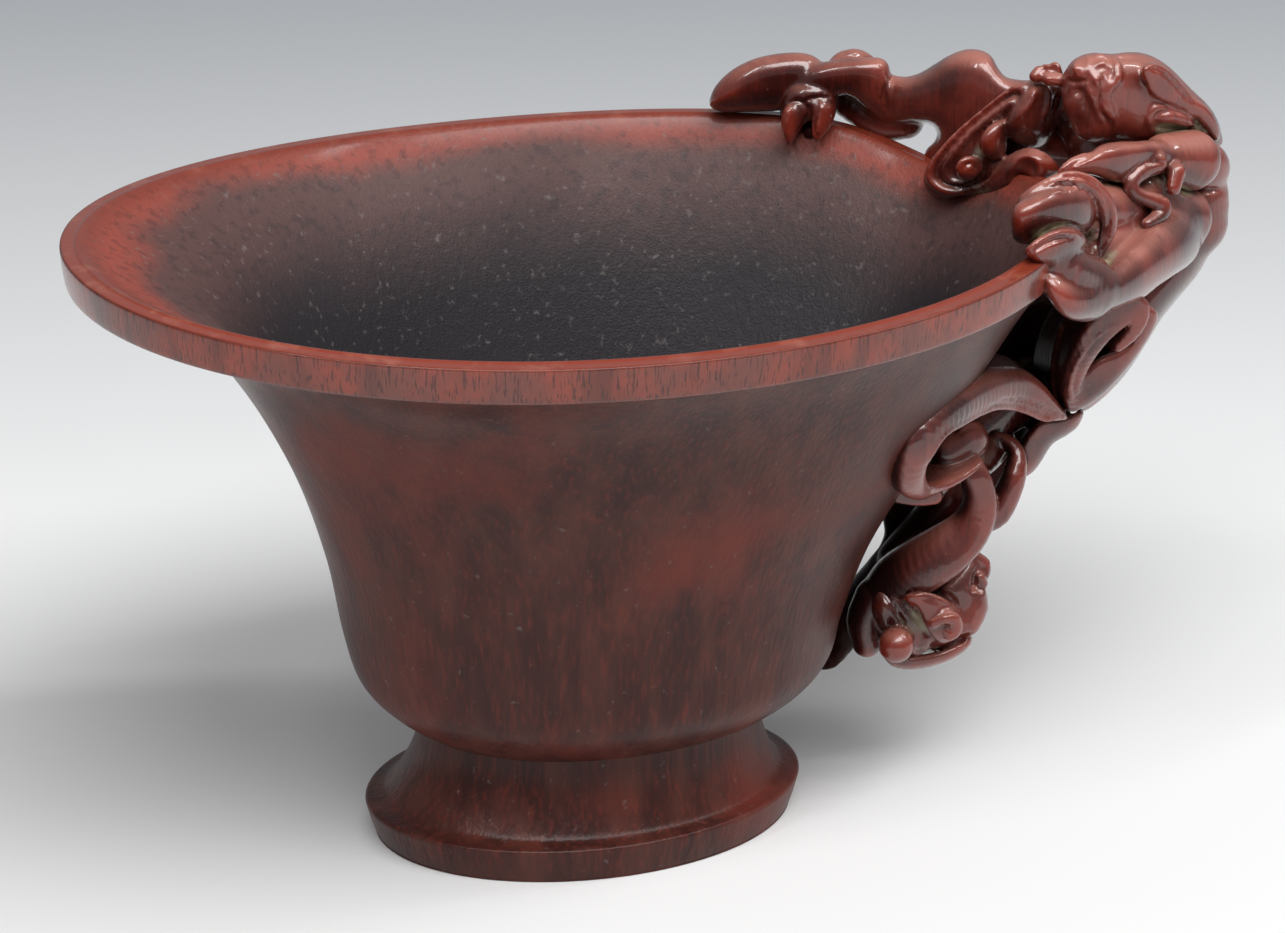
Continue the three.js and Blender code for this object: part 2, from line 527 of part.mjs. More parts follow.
    bar([0.8, -7, 53, 2.4], [-0.2, -6.5, 56, 2.2], [0.1, -6.5, 59.3, 1.8]),
  ]],
  ['handle_root', 'lip', [
    bar([-20.3, -8, 35.8, 4], [-13.2, -5, 32.7, 4], [-6.4, -4, 29.8, 4], [-0.6, -4, 29.8, 3.4]),
    bar([-3, -8, 29.5, 2.8], [-3, 0, 29.8, 3.2], [-3, 8, 29.5, 3.2], [-3.2, 14, 28, 2.8]),
    bar([-6, 12, 27.5, 2.4], [-17, 19, 24, 2.6]),
    dome(2.8, [-7.7, 3, 28.4], [-6.9, 3, 25], [-4.6, 3, 22], [-1.5, 3, 19], [4.3, 3, 19], [7.4, 3, 21.5], [7, 3, 27],
      [5, 3, 33], [0.7, 3, 32], [-3.7, 3, 30]),
    plate(4, 1.5, [-9.4, -2, 31], [-1, -2, 33], [-2.9, -2, 36.4], [-4, -2, 40], [-6.2, -2, 44.4], [-8.5, -2, 46.8],
      [-10, -2, 42.4], [-9.6, -2, 36.8]),
  ]],
];

function meets(one, two) {
  const [a, b] = [one.boundingBox(), two.boundingBox()];
  return [0, 1, 2].every((k) => a.min[k] < b.max[k] && b.min[k] < a.max[k]);
}

function largest(solid) {
  const bodies = solid.decompose();
  bodies.sort((a, b) => b.volume() - a.volume());
  return bodies[0];
}

function meshOf(name, solid, colour, roughness) {
  const data = solid.getMesh();
  const geometry = new THREE.BufferGeometry();
  geometry.setAttribute('position', new THREE.Float32BufferAttribute(data.vertProperties, 3));
  geometry.setIndex(Array.from(data.triVerts));
  geometry.computeVertexNormals();
  const mesh = new THREE.Mesh(geometry, new THREE.MeshStandardMaterial({ color: colour, roughness, metalness: 0 }));
  mesh.name = name;
  return mesh;
}

const cup = new THREE.Group();
const bowl = makeBowl(0);
const foot = makeFoot();
const taken = [makeBowl(clearance), foot];
cup.add(meshOf('bowl', bowl, bowlHorn, 0.45));
cup.add(meshOf('foot', foot, bowlHorn, 0.45));
for (const [name, seat, forms] of pieces) {
  let solid = forms.map((form) => form(seat, 0)).reduce((sum, form) => sum.add(form));
  for (const other of taken.filter((room) => meets(room, solid))) solid = solid.subtract(other);
  cup.add(meshOf(name, largest(solid), horn, 0.3));
  taken.push(...forms.map((form) => form(seat, clearance * 1.4)));
}

// The origin is the middle of the plan, on the surface that the foot stands on
const bounds = new THREE.Box3().setFromObject(cup);
const middle = bounds.getCenter(new THREE.Vector3());
cup.position.set(-middle.x, -middle.y, -bounds.min.z);

export default cup;
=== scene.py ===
import math

import bpy
import numpy as np
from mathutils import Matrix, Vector
from mathutils.bvhtree import BVHTree


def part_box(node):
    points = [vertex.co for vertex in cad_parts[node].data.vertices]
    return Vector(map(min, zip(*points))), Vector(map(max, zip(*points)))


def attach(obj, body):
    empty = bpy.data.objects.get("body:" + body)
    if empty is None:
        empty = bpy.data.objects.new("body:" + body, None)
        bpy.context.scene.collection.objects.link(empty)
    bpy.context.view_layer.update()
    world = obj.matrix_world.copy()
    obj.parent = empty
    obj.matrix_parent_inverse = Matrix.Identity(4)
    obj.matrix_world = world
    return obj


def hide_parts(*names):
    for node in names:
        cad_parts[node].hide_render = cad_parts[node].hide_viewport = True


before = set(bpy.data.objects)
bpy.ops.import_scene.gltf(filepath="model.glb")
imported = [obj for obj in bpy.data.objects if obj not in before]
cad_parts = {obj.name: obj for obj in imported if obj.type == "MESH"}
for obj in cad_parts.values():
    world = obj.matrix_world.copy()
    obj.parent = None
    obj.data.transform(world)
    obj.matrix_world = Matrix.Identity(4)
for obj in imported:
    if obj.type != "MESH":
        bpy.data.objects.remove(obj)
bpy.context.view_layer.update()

# The cup's own frame: millimetres from the middle of the foot, +X to the handle, +Y to the far side
cup = {
    "spoutReach": 66.8, "handleReach": 64.8, "mouthHalfWidth": 47.4, "fullness": 2.07,
    "spoutHeight": 83.3, "handleHeight": 79.3, "sideHeight": 79.5,
    "dip": 4.6, "dipAt": 20, "dipSpread": 16,   # the lip sinks under the rim dragon, in mm and degrees
    "bandHeight": 4.9, "bandStep": 1.0, "lipWidth": 3.6,
    "wall": 3.6, "wellFloor": 26.0,
    "waistSpout": 31.5, "waistHandle": 34.8, "seatSpout": 22.9, "seatHandle": 27.2,
    "bowlBase": 15.5, "around": 480,
}
foot = {
    "flangeHeight": 4.7, "flangeReach": 29.0, "flangeHalfWidth": 22.1,
    "neckReach": 23.0, "recessDepth": 3.5, "recessReach": 19.0, "top": 16.2, "lean": 1.3,
}
footLow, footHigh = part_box("foot")
cupMiddle = Vector((footLow.x + foot["flangeReach"] / 1000, (footLow.y + footHigh.y) / 2, 0))


def meshPiece(name, points, faces, ends=()):
    mesh = bpy.data.meshes.new(name)
    points = np.asarray(points, float) / 1000 + np.array(cupMiddle)
    mesh.from_pydata(points.tolist(), [], np.asarray(faces).tolist() + [list(end) for end in ends])
    mesh.polygons.foreach_set("use_smooth", [True] * len(faces) + [False] * len(ends))
    mesh.validate()
    piece = bpy.data.objects.new(name, mesh)
    bpy.context.scene.collection.objects.link(piece)
    return piece


def paintValues(piece, name, values):
    # A number for each point of the mesh, which the finish reads by name
    layer = piece.data.attributes.new(name, "FLOAT", "POINT")
    layer.data.foreach_set("value", np.asarray(values, np.float32))


def curveThrough(values, steps):
    rows = np.asarray(values, float)
    padded = np.vstack([2 * rows[0] - rows[1], rows, 2 * rows[-1] - rows[-2]])
    steps = np.broadcast_to(steps, len(rows) - 1)
    out = []
    for k in range(len(rows) - 1):
        a, b, c, d = padded[k:k + 4]
        for t in np.arange(steps[k]) / steps[k]:
            out.append(0.5 * (2 * b + (c - a) * t + (2 * a - 5 * b + 4 * c - d) * t * t
                              + (3 * b - a - 3 * c + d) * t ** 3))
    out.append(rows[-1])
    return np.array(out)


def ovalShares(turn):
    power = 2 / cup["fullness"]
    c, s = np.cos(turn), np.sin(turn)
    return np.sign(c) * np.abs(c) ** power, np.sign(s) * np.abs(s) ** power


def lipHeight(turn):
    along = ovalShares(turn)[0]
    rise = (cup["handleHeight"] - cup["spoutHeight"]) / 2
    bow = (cup["handleHeight"] + cup["spoutHeight"]) / 2 - cup["sideHeight"]
    off = (np.degrees(turn) - cup["dipAt"] + 180) % 360 - 180
    sunk = cup["dip"] * np.exp(-(off / cup["dipSpread"]) ** 2)
    return cup["sideHeight"] + rise * along + bow * along ** 2 - sunk


turns = np.arange(cup["around"]) / cup["around"] * 2 * math.pi
lipZ = lipHeight(turns)


def oval(spout, handle, half):
    along, across = ovalShares(turns)
    return (handle - spout) / 2 + (handle + spout) / 2 * along, half * across


waistHalf = cup["mouthHalfWidth"] / 2 + 1.4
sections = [   # share of the height, reach to the spout, reach to the handle, half width
    [0, cup["seatSpout"], cup["seatHandle"], waistHalf - 5.8],
    [0.04, cup["seatSpout"] + 3.5, cup["seatHandle"] + 3.4, waistHalf - 3.3],
    [0.1, cup["waistSpout"] - 1.9, cup["waistHandle"] - 1.6, waistHalf - 1.1],
    [0.2, cup["waistSpout"], cup["waistHandle"], waistHalf],
    [0.37, cup["waistSpout"] + 2.1, cup["waistHandle"] + 4, waistHalf + 2.1],
    [0.57, cup["waistSpout"] + 6.3, cup["waistHandle"] + 11.5, waistHalf + 6.1],
    [0.77, cup["waistSpout"] + 13, cup["handleReach"] - 10.6, waistHalf + 11],
    [0.9, cup["spoutReach"] - 15.4, cup["handleReach"] - 5.8, cup["mouthHalfWidth"] - 7.0],
    [1, cup["spoutReach"] - 4.2, cup["handleReach"] - 1.6, cup["mouthHalfWidth"] - 2.4],
]
wallCurve = curveThrough(sections, 10)


def wallAt(share):
    return [np.interp(share, wallCurve[:, 0], wallCurve[:, k]) for k in (1, 2, 3)]


def wallRing(share, inset):
    spout, handle, half = wallAt(share)
    x, y = oval(spout - inset, handle - inset, half - inset)
    crease = lipZ - cup["bandHeight"]
    return np.stack([x, y, cup["bowlBase"] + (crease - cup["bowlBase"]) * share], 1)


def lipRing(inset, drop):
    x, y = oval(cup["spoutReach"] - inset, cup["handleReach"] - inset, cup["mouthHalfWidth"] - inset)
    return np.stack([x, y, lipZ - drop], 1)


def lathed(name, rings, zones):
    # Rings of points joined into a skin, each with its zone values, and flat ends
    count = len(rings[0])
    start = np.arange(len(rings) - 1)[:, None] * count
    a = np.arange(count)[None, :]
    b = (a + 1) % count
    quads = np.stack([start + a, start + b, start + b + count, start + a + count], -1).reshape(-1, 4)
    last = (len(rings) - 1) * count
    piece = meshPiece(name, np.vstack(rings), quads, [range(count - 1, -1, -1), range(last, last + count)])
    for key in zones[0]:
        paintValues(piece, key, np.repeat([zone.get(key, 0) for zone in zones], count))
    return piece


# Under the band the wall turns out to a step, then a flat face with a sharp top edge:
# distance in from the lip's reach, drop from the lip, share of the band's or the lip's finish
bandProfile = [
    (1.5, 5.05, 0.1), (0.95, 4.85, 0.4), (0.62, 4.6, 0.8), (0.48, 4.2, 1), (0.36, 3.4, 1),
    (0.2, 2.4, 1), (0.08, 1.2, 1), (0.02, 0.5, 1), (0.03, 0.26, 1),
]
edgeProfile = [(0.1, 0.1, 0.3), (0.24, 0.02, 0.8), (0.45, 0, 1), (1.0, -0.02, 1), (1.6, 0, 1)]


def makeBowl():
    rings, zones = [], []

    def ring(points, band=0.0, lip=0.0, inner=0.0):
        rings.append(points)
        zones.append({"band": band, "lip": lip, "inner": inner})

    outer = [wallRing(share, 0) for share in np.linspace(0, 1, 91)]
    for points in outer[:-1]:
        ring(points)
    for inset, drop, band in bandProfile:
        ring(lipRing(inset, drop), band=band)
    for inset, drop, lip in edgeProfile:
        ring(lipRing(inset, drop), lip=lip)
    # The inner face keeps the wall's thickness, measured square to it
    inside = []
    for k in range(88, 17, -1):
        rise = outer[k + 1] - outer[k - 1]
        sideways = np.roll(outer[k], -1, 0) - np.roll(outer[k], 1, 0)
        inward = np.cross(rise, sideways)
        inside.append(outer[k] + inward / np.linalg.norm(inward, axis=1)[:, None] * cup["wall"])
    turnOver = [lipRing(1.6, 0), lipRing(cup["lipWidth"] - 0.6, 0.12), inside[1], inside[6]]
    soft = curveThrough([points.ravel() for points in turnOver], (5, 8, 5))[1:-1]
    soft = soft.reshape(-1, cup["around"], 3)
    for k, points in enumerate(soft):
        share = k / len(soft)
        ring(points, lip=max(0, 1 - share * 2.2), inner=min(1, share * 2.2))
    for points in inside[6:]:
        ring(points, inner=1)
    low = rings[-1]
    middle = low.mean(0)
    for k in range(1, 15):
        t = k / 14
        points = low.copy()
        points[:, :2] = middle[:2] + (low[:, :2] - middle[:2]) * (1 - 0.9 * t * t - 0.08 * t)
        points[:, 2] = low[:, 2] + (cup["wellFloor"] - low[:, 2]) * math.sin(t * math.pi / 2)
        ring(points, inner=1)
    piece = lathed("bowl_fine", rings, zones)
    paintValues(piece, "below", (lipZ[None, :] - np.array(rings)[:, :, 2]).ravel() / 10)   # in centimetres
    return piece


def makeFoot():
    reach, neck, recess, aspect = (foot["flangeReach"], foot["neckReach"], foot["recessReach"],
                                   foot["flangeHalfWidth"] / foot["flangeReach"])
    top, lean = foot["top"], foot["lean"]
    rows = [   # reach, height, shift to the handle, 1 on the flange
        (recess - 6, foot["recessDepth"], 0, 0), (recess, foot["recessDepth"] - 0.2, 0, 0),
        (recess + 1.6, foot["recessDepth"] * 0.5, 0, 0), (recess + 2, 0.1, 0, 1), (recess + 2.3, 0, 0, 1),
        (reach - 1.9, 0, 0, 1), (reach - 1.3, 0.25, 0, 1), (reach - 0.6, 2.0, 0, 1),
        (reach - 0.05, 3.9, 0, 1), (reach, 4.2, 0, 1), (reach - 0.1, 4.5, 0, 1),
        (reach - 0.5, foot["flangeHeight"], 0, 1),
        (neck + 4.4, 4.9, 0, 0.7), (neck + 3.4, 5.3, 0, 0.2), (neck + 2.6, 6.3, 0.1, 0),
        (neck + 1.5, 8.2, 0.3, 0), (neck + 0.5, 10.6, 0.6, 0), (neck, 13, 0.9, 0), (neck, 15.2, 1.2, 0),
        (neck, top, lean, 0),
    ]
    fine = curveThrough(rows, 6)
    level = np.ones(len(turns))
    rings = [np.stack([r * np.cos(turns) + shift, r * aspect * np.sin(turns), level * max(z, 0)], 1)
             for r, z, shift, _ in fine]
    return lathed("foot_fine", rings, [{"flange": flange} for _, _, _, flange in fine])


# Camera, fitted to the photograph's frame
shot = {"azimuth": -22.78, "elevation": 21.72, "distance": 900.5, "aim": (8.36, 0.0, 46.66),
        "scale": 7.815, "width": 1285, "height": 933}   # scale is pixels for each millimetre at the aim
turnBy, tiltBy = math.radians(shot["azimuth"]), math.radians(shot["elevation"])
back = np.array([math.sin(turnBy), -math.cos(turnBy), math.tan(tiltBy)]) * math.cos(tiltBy)
right = np.array([math.cos(turnBy), math.sin(turnBy), 0])
up = np.cross(back, right)
eye = np.array(shot["aim"]) + back * shot["distance"]


def makeCamera():
    data = bpy.data.cameras.new("camera")
    data.sensor_width = 36
    data.lens = shot["scale"] * shot["distance"] * data.sensor_width / shot["width"]
    data.clip_end = 20
    camera = bpy.data.objects.new("camera", data)
    bpy.context.scene.collection.objects.link(camera)
    camera.location = Vector(eye / 1000) + cupMiddle
    camera.rotation_mode = "QUATERNION"
    camera.rotation_quaternion = (-Vector(back)).to_track_quat("-Z", "Y")
    bpy.context.scene.camera = camera


def rayAt(px, py):
    ray = (-back * shot["scale"] * shot["distance"] + right * (px - shot["width"] / 2)
           - up * (py - shot["height"] / 2))
    return ray / np.linalg.norm(ray)


def treeOf(piece):
    mesh = piece.data
    return BVHTree.FromPolygons([v.co for v in mesh.vertices], [p.vertices for p in mesh.polygons])


def seatOn(tree, px, py):
    # Where the photograph's view meets a finished surface, and the way that surface faces
    hit, normal, _, _ = tree.ray_cast(Vector(eye / 1000) + cupMiddle, Vector(rayAt(px, py)))
    return np.array(hit - cupMiddle) * 1000, np.array(normal)


# Clay: blocks of distances in mm, negative inside the horn; an empty block is "far" all over
clay = {"step": 0.3, "margin": 1.5, "far": 6.0}
cellCorners = [(i, j, k) for i in (0, 1) for j in (0, 1) for k in (0, 1)]


def routeThrough(points, finest=0.9):
    rows = np.asarray(points, float)
    if len(rows) == 1:
        return np.vstack([rows, rows + [[0, 0, 0.01, 0]]])
    lengths = np.linalg.norm(np.diff(rows[:, :3], axis=0), axis=1)
    return curveThrough(rows, np.maximum(2, (lengths / finest).astype(int)))


def newBlock(low, high):
    low, high = np.array(low, float), np.array(high, float)
    shape = np.ceil((high - low) / clay["step"]).astype(int) + 1
    return {"low": low, "field": np.full(shape, clay["far"], np.float32)}


def sample(block, points):
    step = block.get("step", clay["step"])
    spot = (points - block["low"]) / step
    inside = ((spot >= 0) & (spot < np.array(block["field"].shape) - 1)).all(1)
    spot = np.where(inside[:, None], spot, 0)
    cell = spot.astype(int)
    part = spot - cell
    total = np.zeros(len(points))
    for corner in cellCorners:
        weight = np.prod(np.where(np.array(corner) == 1, part, 1 - part), axis=1)
        total += weight * block["field"][tuple((cell + corner).T)]
    return np.where(inside, total, block.get("outside", clay["far"]))


def window(block, low, high):
    shape = np.array(block["field"].shape)
    first = np.clip(np.floor((low - block["low"]) / clay["step"]).astype(int), 0, shape - 1)
    last = np.clip(np.ceil((high - block["low"]) / clay["step"]).astype(int) + 1, 1, shape)
    axes = [block["low"][k] + np.arange(first[k], last[k]) * clay["step"] for k in range(3)]
    return tuple(slice(first[k], last[k]) for k in range(3)), axes


def barField(axes, route, depth=1.0, power=2):
    # depth is the bar's thickness towards the eye against its width, and power 4 gives it flat faces
    field = np.full([len(a) for a in axes], 9.0, np.float32)
    for a, b in zip(route[:-1], route[1:]):
        reach = max(a[3], b[3]) * max(depth, 1) * 1.2 + clay["margin"]
        cut = tuple(slice(*np.searchsorted(axes[k], (min(a[k], b[k]) - reach, max(a[k], b[k]) + reach)))
                    for k in range(3))
        along = b[:3] - a[:3]
        size = max(float(along @ along), 1e-6)
        gx, gy, gz = np.meshgrid(*(axes[k][cut[k]] for k in range(3)), indexing="ij", sparse=True)
        dx, dy, dz = gx - a[0], gy - a[1], gz - a[2]
        t = np.clip((dx * along[0] + dy * along[1] + dz * along[2]) / size, 0, 1)
        rx, ry, rz = dx - t * along[0], dy - t * along[1], dz - t * along[2]
        squared = rx * rx + ry * ry + rz * rz
        if depth == 1 and power == 2:
            d = np.sqrt(squared)
        else:
            ahead = (rx * back[0] + ry * back[1] + rz * back[2]) ** 2
            flat = np.maximum(squared - ahead, 0)
            ahead = ahead / depth ** 2
            d = np.sqrt(flat + ahead) if power == 2 else (flat ** 2 + ahead ** 2) ** 0.25
        d = d - (a[3] + t * (b[3] - a[3]))
        field[cut] = np.minimum(field[cut], d)
    return field


def blendMin(a, b, soft):
    if soft <= 0:
        return np.minimum(a, b)
    h = np.clip(0.5 + 0.5 * (b - a) / soft, 0, 1)
    return b * (1 - h) + a * h - soft * h * (1 - h)


def spread(route, depth=1.0):
    reach = route[:, 3].max() * max(depth, 1) * 1.2 + clay["margin"]
    return route[:, :3].min(0) - reach, route[:, :3].max(0) + reach


def addBar(block, points, soft):
    route = routeThrough(points)
    part, axes = window(block, *spread(route))
    block["field"][part] = blendMin(block["field"][part], barField(axes, route), soft)


def cutBar(block, points, soft):
    route = routeThrough(points)
    part, axes = window(block, *spread(route))
    block["field"][part] = -blendMin(-block["field"][part], barField(axes, route), soft)


reachFromEye = np.arange(800, 1010, 0.15)   # mm, from before the cup to behind it


def surfaceSeen(block, px, py):
    ray = rayAt(px, py)
    found = np.nonzero(sample(block, eye + ray * reachFromEye[:, None]) < 0)[0]
    return eye + ray * reachFromEye[found[0]] if len(found) else None


def linesOn(block, line, width):
    # A line of the photograph's pixels laid on the clay, split where the surface jumps
    flat = routeThrough([(x, y, 0, 0) for x, y in line], finest=4)[:, :2]
    runs = [[]]
    for px, py in flat:
        hit = surfaceSeen(block, px, py)
        if hit is None or (runs[-1] and np.linalg.norm(hit - runs[-1][-1]) > 1.6):
            runs.append([])
        if hit is not None:
            runs[-1].append(hit)
    for run in runs:
        if len(run) > 2:
            ends = np.minimum(np.arange(len(run)), np.arange(len(run))[::-1])
            yield np.column_stack([run, width * np.clip(0.35 + 0.3 * ends, 0, 1)])


def skinOf(block):
    # One point in each cell that the surface crosses, and a face round each crossed edge
    field, low, step = block["field"], block["low"], clay["step"]
    for k in range(3):
        ends = [slice(None)] * 3
        for ends[k] in (0, -1):
            field[tuple(ends)] = 1
    inside = field < 0
    n = np.array(field.shape) - 1
    count = np.zeros(n, np.int8)
    for i, j, k in cellCorners:
        count += inside[i:n[0] + i, j:n[1] + j, k:n[2] + k]
    cells = np.argwhere((count > 0) & (count < 8))
    number = np.full(n, -1, np.int32)
    number[tuple(cells.T)] = np.arange(len(cells))
    total = np.zeros((len(cells), 3))
    hits = np.zeros(len(cells))
    for corner in cellCorners:
        for axis in range(3):
            if corner[axis]:
                continue
            one = np.array(corner)
            two = one.copy()
            two[axis] = 1
            f0 = field[tuple((cells + one).T)]
            f1 = field[tuple((cells + two).T)]
            cross = (f0 < 0) != (f1 < 0)
            t = np.where(cross, f0 / np.where(cross, f0 - f1, 1), 0)
            total += np.where(cross[:, None], one + (two - one) * t[:, None], 0)
            hits += cross
    points = low + (cells + total / hits[:, None]) * step
    faces = []
    for axis in range(3):
        u, v = (axis + 1) % 3, (axis + 2) % 3
        a, b = [slice(None)] * 3, [slice(None)] * 3
        a[axis], b[axis] = slice(0, -1), slice(1, None)
        edge = np.argwhere(inside[tuple(a)] != inside[tuple(b)])
        edge = edge[(edge[:, u] > 0) & (edge[:, v] > 0) & (edge[:, u] < n[u]) & (edge[:, v] < n[v])]
        flip = inside[tuple(edge.T)]
        quad = []
        for du, dv in ((-1, -1), (0, -1), (0, 0), (-1, 0)):
            cell = edge.copy()
            cell[:, u] += du
            cell[:, v] += dv
            quad.append(number[tuple(cell.T)])
        quad = np.stack(quad, 1)
        faces.append(np.where(flip[:, None], quad, quad[:, ::-1]))
    return points, np.vstack(faces)


def seen(px, py, side):
    # The point at that side of the cup which the photograph shows at that pixel
    ray = rayAt(px, py)
    return eye + ray * ((side - eye[1]) / ray[1])


def bar(path, soft=0.4, depth=1.0, power=2):
    # A rounded limb: points are (across, down, side, radius), with across and down in the photograph's
    # pixels and the side in mm. "cup" as the side rests the point on the cup, a third sunk.
    return {"kind": "bar", "path": path, "soft": soft, "depth": depth, "power": power}


def ribbon(path, thick, edge, soft=0.25, far=False):
    # A flat band that follows the points, its broad face to the side; the far one is mirrored
    return {"kind": "ribbon", "path": path, "thick": thick, "edge": edge, "soft": soft, "far": far}


def plate(outline, sides, thick, edge, soft=0.4):
    # A form cut to an outline of pixels, domed where the edge is wide; sides are (across, down, side)
    return {"kind": "plate", "outline": outline, "sides": sides, "thick": thick, "edge": edge, "soft": soft}


def swell(outline, sides, fullness=1.0, cap=6.0, soft=0.5):
    # A soft body blown up inside an outline of pixels, to at most the cap in mm each way
    return {"kind": "swell", "outline": outline, "sides": sides, "fullness": fullness, "cap": cap,
            "soft": soft}


def pixelsOf(points):
    reach = points - eye
    ahead = -(reach @ back)
    scale = shot["scale"] * shot["distance"] / ahead
    return (shot["width"] / 2 + (reach @ right) * scale, shot["height"] / 2 - (reach @ up) * scale, scale)


def roundedSlab(out, ahead, thick, edge):
    # out is the distance beyond the outline, ahead the depth behind the traced face
    lift = min(edge, thick / 2)
    across = (out + edge) / edge
    deep = (np.abs(ahead - thick / 2 + lift) - thick / 2 + lift) / lift
    corner = np.hypot(np.maximum(across, 0), np.maximum(deep, 0)) + np.minimum(np.maximum(across, deep), 0)
    return (corner - 1) * min(edge, lift)


def outlineRaster(outline):
    closed = curveThrough(np.vstack([outline[-1:], outline, outline[:2]]).astype(float), 4)[4:-4]
    low = np.floor(closed.min(0)) - 24
    high = np.ceil(closed.max(0)) + 24
    gx, gy = np.meshgrid(np.arange(low[0], high[0] + 1), np.arange(low[1], high[1] + 1), indexing="ij")
    nearest = np.full(gx.shape, 1e9)
    inside = np.zeros(gx.shape, bool)
    for a, b in zip(closed[:-1], closed[1:]):
        along = b - a
        t = np.clip(((gx - a[0]) * along[0] + (gy - a[1]) * along[1]) / max(along @ along, 1e-9), 0, 1)
        nearest = np.minimum(nearest, np.hypot(gx - a[0] - t * along[0], gy - a[1] - t * along[1]))
        if a[1] != b[1]:
            inside ^= ((a[1] > gy) != (b[1] > gy)) & (gx < along[0] * (gy - a[1]) / along[1] + a[0])
    return low, np.where(inside, -nearest, nearest)


def blownUp(raster):
    # The square of a soap film's height over the outline, coarse cells first
    inside = raster < 0
    film = np.zeros((1, 1))
    for step, rounds in ((8, 260), (4, 80), (2, 60), (1, 40)):
        mask = inside[::step, ::step]
        film = np.repeat(np.repeat(film, 2, 0), 2, 1)[:mask.shape[0], :mask.shape[1]]
        film = np.pad(film, [(0, mask.shape[k] - film.shape[k]) for k in (0, 1)])
        for _ in range(rounds):
            film = sum(np.roll(film, shift, axis) for shift in (-1, 1) for axis in (0, 1)) / 4 + step * step
            film[~mask] = 0
    edge = np.hypot(*np.gradient(film))[(raster < -1) & (raster > -3)].mean()
    return np.where(inside, film, -edge * np.maximum(raster, 0))


def sampledRaster(raster, low, px, py):
    spot = np.clip(np.stack([px, py], 1) - low, 0, np.array(raster.shape) - 1.001)
    cell = spot.astype(int)
    part = spot - cell
    total = 0
    for i, j in ((0, 0), (0, 1), (1, 0), (1, 1)):
        weight = np.abs(1 - i - part[:, 0]) * np.abs(1 - j - part[:, 1])
        total = total + raster[cell[:, 0] + i, cell[:, 1] + j] * weight
    return total


def outlinedField(axes, form):
    anchors = np.array([seen(*anchor) for anchor in form["sides"]])
    middle = anchors.mean(0)
    lean = np.linalg.lstsq(anchors[:, [0, 2]] - middle[[0, 2]], anchors[:, 1] - middle[1], rcond=1e-6)[0]
    gx, gy, gz = np.meshgrid(*axes, indexing="ij")
    ahead = gy - middle[1] - lean[0] * (gx - middle[0]) - lean[1] * (gz - middle[2])
    ahead = (ahead / math.sqrt(1 + lean @ lean)).ravel()
    px, py, scale = pixelsOf(np.stack([gx.ravel(), gy.ravel(), gz.ravel()], 1))
    low, raster = outlineRaster(np.array(form["outline"], float))
    if form["kind"] == "plate":
        out = sampledRaster(raster, low, px, py) / scale
        field = roundedSlab(out, ahead, form["thick"], form["edge"])
    else:
        film = blownUp(raster)
        full = form["fullness"] ** 2
        height = full * sampledRaster(film, low, px, py) / scale ** 2
        slope = full * sampledRaster(np.hypot(*np.gradient(film)), low, px, py) / scale
        over = (np.maximum(height, 0) / form["cap"] ** 2) ** 2
        steep = np.sqrt(4 * ahead ** 2 + (slope * (1 + over) ** -1.5) ** 2)
        field = (ahead ** 2 - height / np.sqrt(1 + over)) / np.maximum(steep, 0.8)
    return np.clip(field, -clay["far"], clay["far"]).reshape(gx.shape).astype(np.float32)


def ribbonField(axes, route, form):
    field = np.full([len(a) for a in axes], 9.0, np.float32)
    gx, gz = np.meshgrid(axes[0], axes[2], indexing="ij")
    for a, b in zip(route[:-1], route[1:]):
        flat = (b - a)[[0, 2]]
        t = np.clip(((gx - a[0]) * flat[0] + (gz - a[2]) * flat[1]) / max(flat @ flat, 1e-9), 0, 1)
        out = np.hypot(gx - a[0] - t * flat[0], gz - a[2] - t * flat[1]) - (a[3] + t * (b[3] - a[3]))
        ahead = axes[1][None, :, None] - (a[1] + t * (b[1] - a[1]))[:, None, :]
        field = np.minimum(field, roundedSlab(out[:, None, :], ahead, form["thick"], form["edge"]))
    return field


def routeOf(form):
    route = []
    for px, py, side, radius in form["path"]:
        if side == "cup":
            spot, normal = seatOn(cupTree, px, py)
            route.append((*(spot + normal * radius * 0.35), radius))
        else:
            route.append((*seen(px, py, side), radius))
    route = np.array(route, float)
    if form.get("far"):
        route[:, 1] = 2 * form["edge"] - form["thick"] - route[:, 1]
    return route


def reachOf(form):
    # The corners of the space that a form takes
    if "outline" in form:
        anchors = np.array(form["sides"], float)
        depth = form.get("thick", form.get("cap"))
        near, far = anchors[:, 2].min() - depth - 1, anchors[:, 2].max() + depth + 1
        points = np.array([seen(px, py, side) for px, py in form["outline"] for side in (near, far)])
        return points.min(0) - 1, points.max(0) + 1
    route = routeThrough(routeOf(form))
    low, high = spread(route, form.get("depth", 1))
    if form["kind"] == "ribbon":
        high[1] = max(high[1], route[:, 1].max() + form["thick"] + 1)
    return low, high


def formField(block, form):
    part, axes = window(block, *reachOf(form))
    if "outline" in form:
        return part, outlinedField(axes, form)
    route = routeThrough(routeOf(form))
    if form["kind"] == "ribbon":
        return part, ribbonField(axes, route, form)
    return part, barField(axes, route, form["depth"], form["power"])


carvingSunk = 0.6   # how far the carvings may reach into the wall, as a share of it


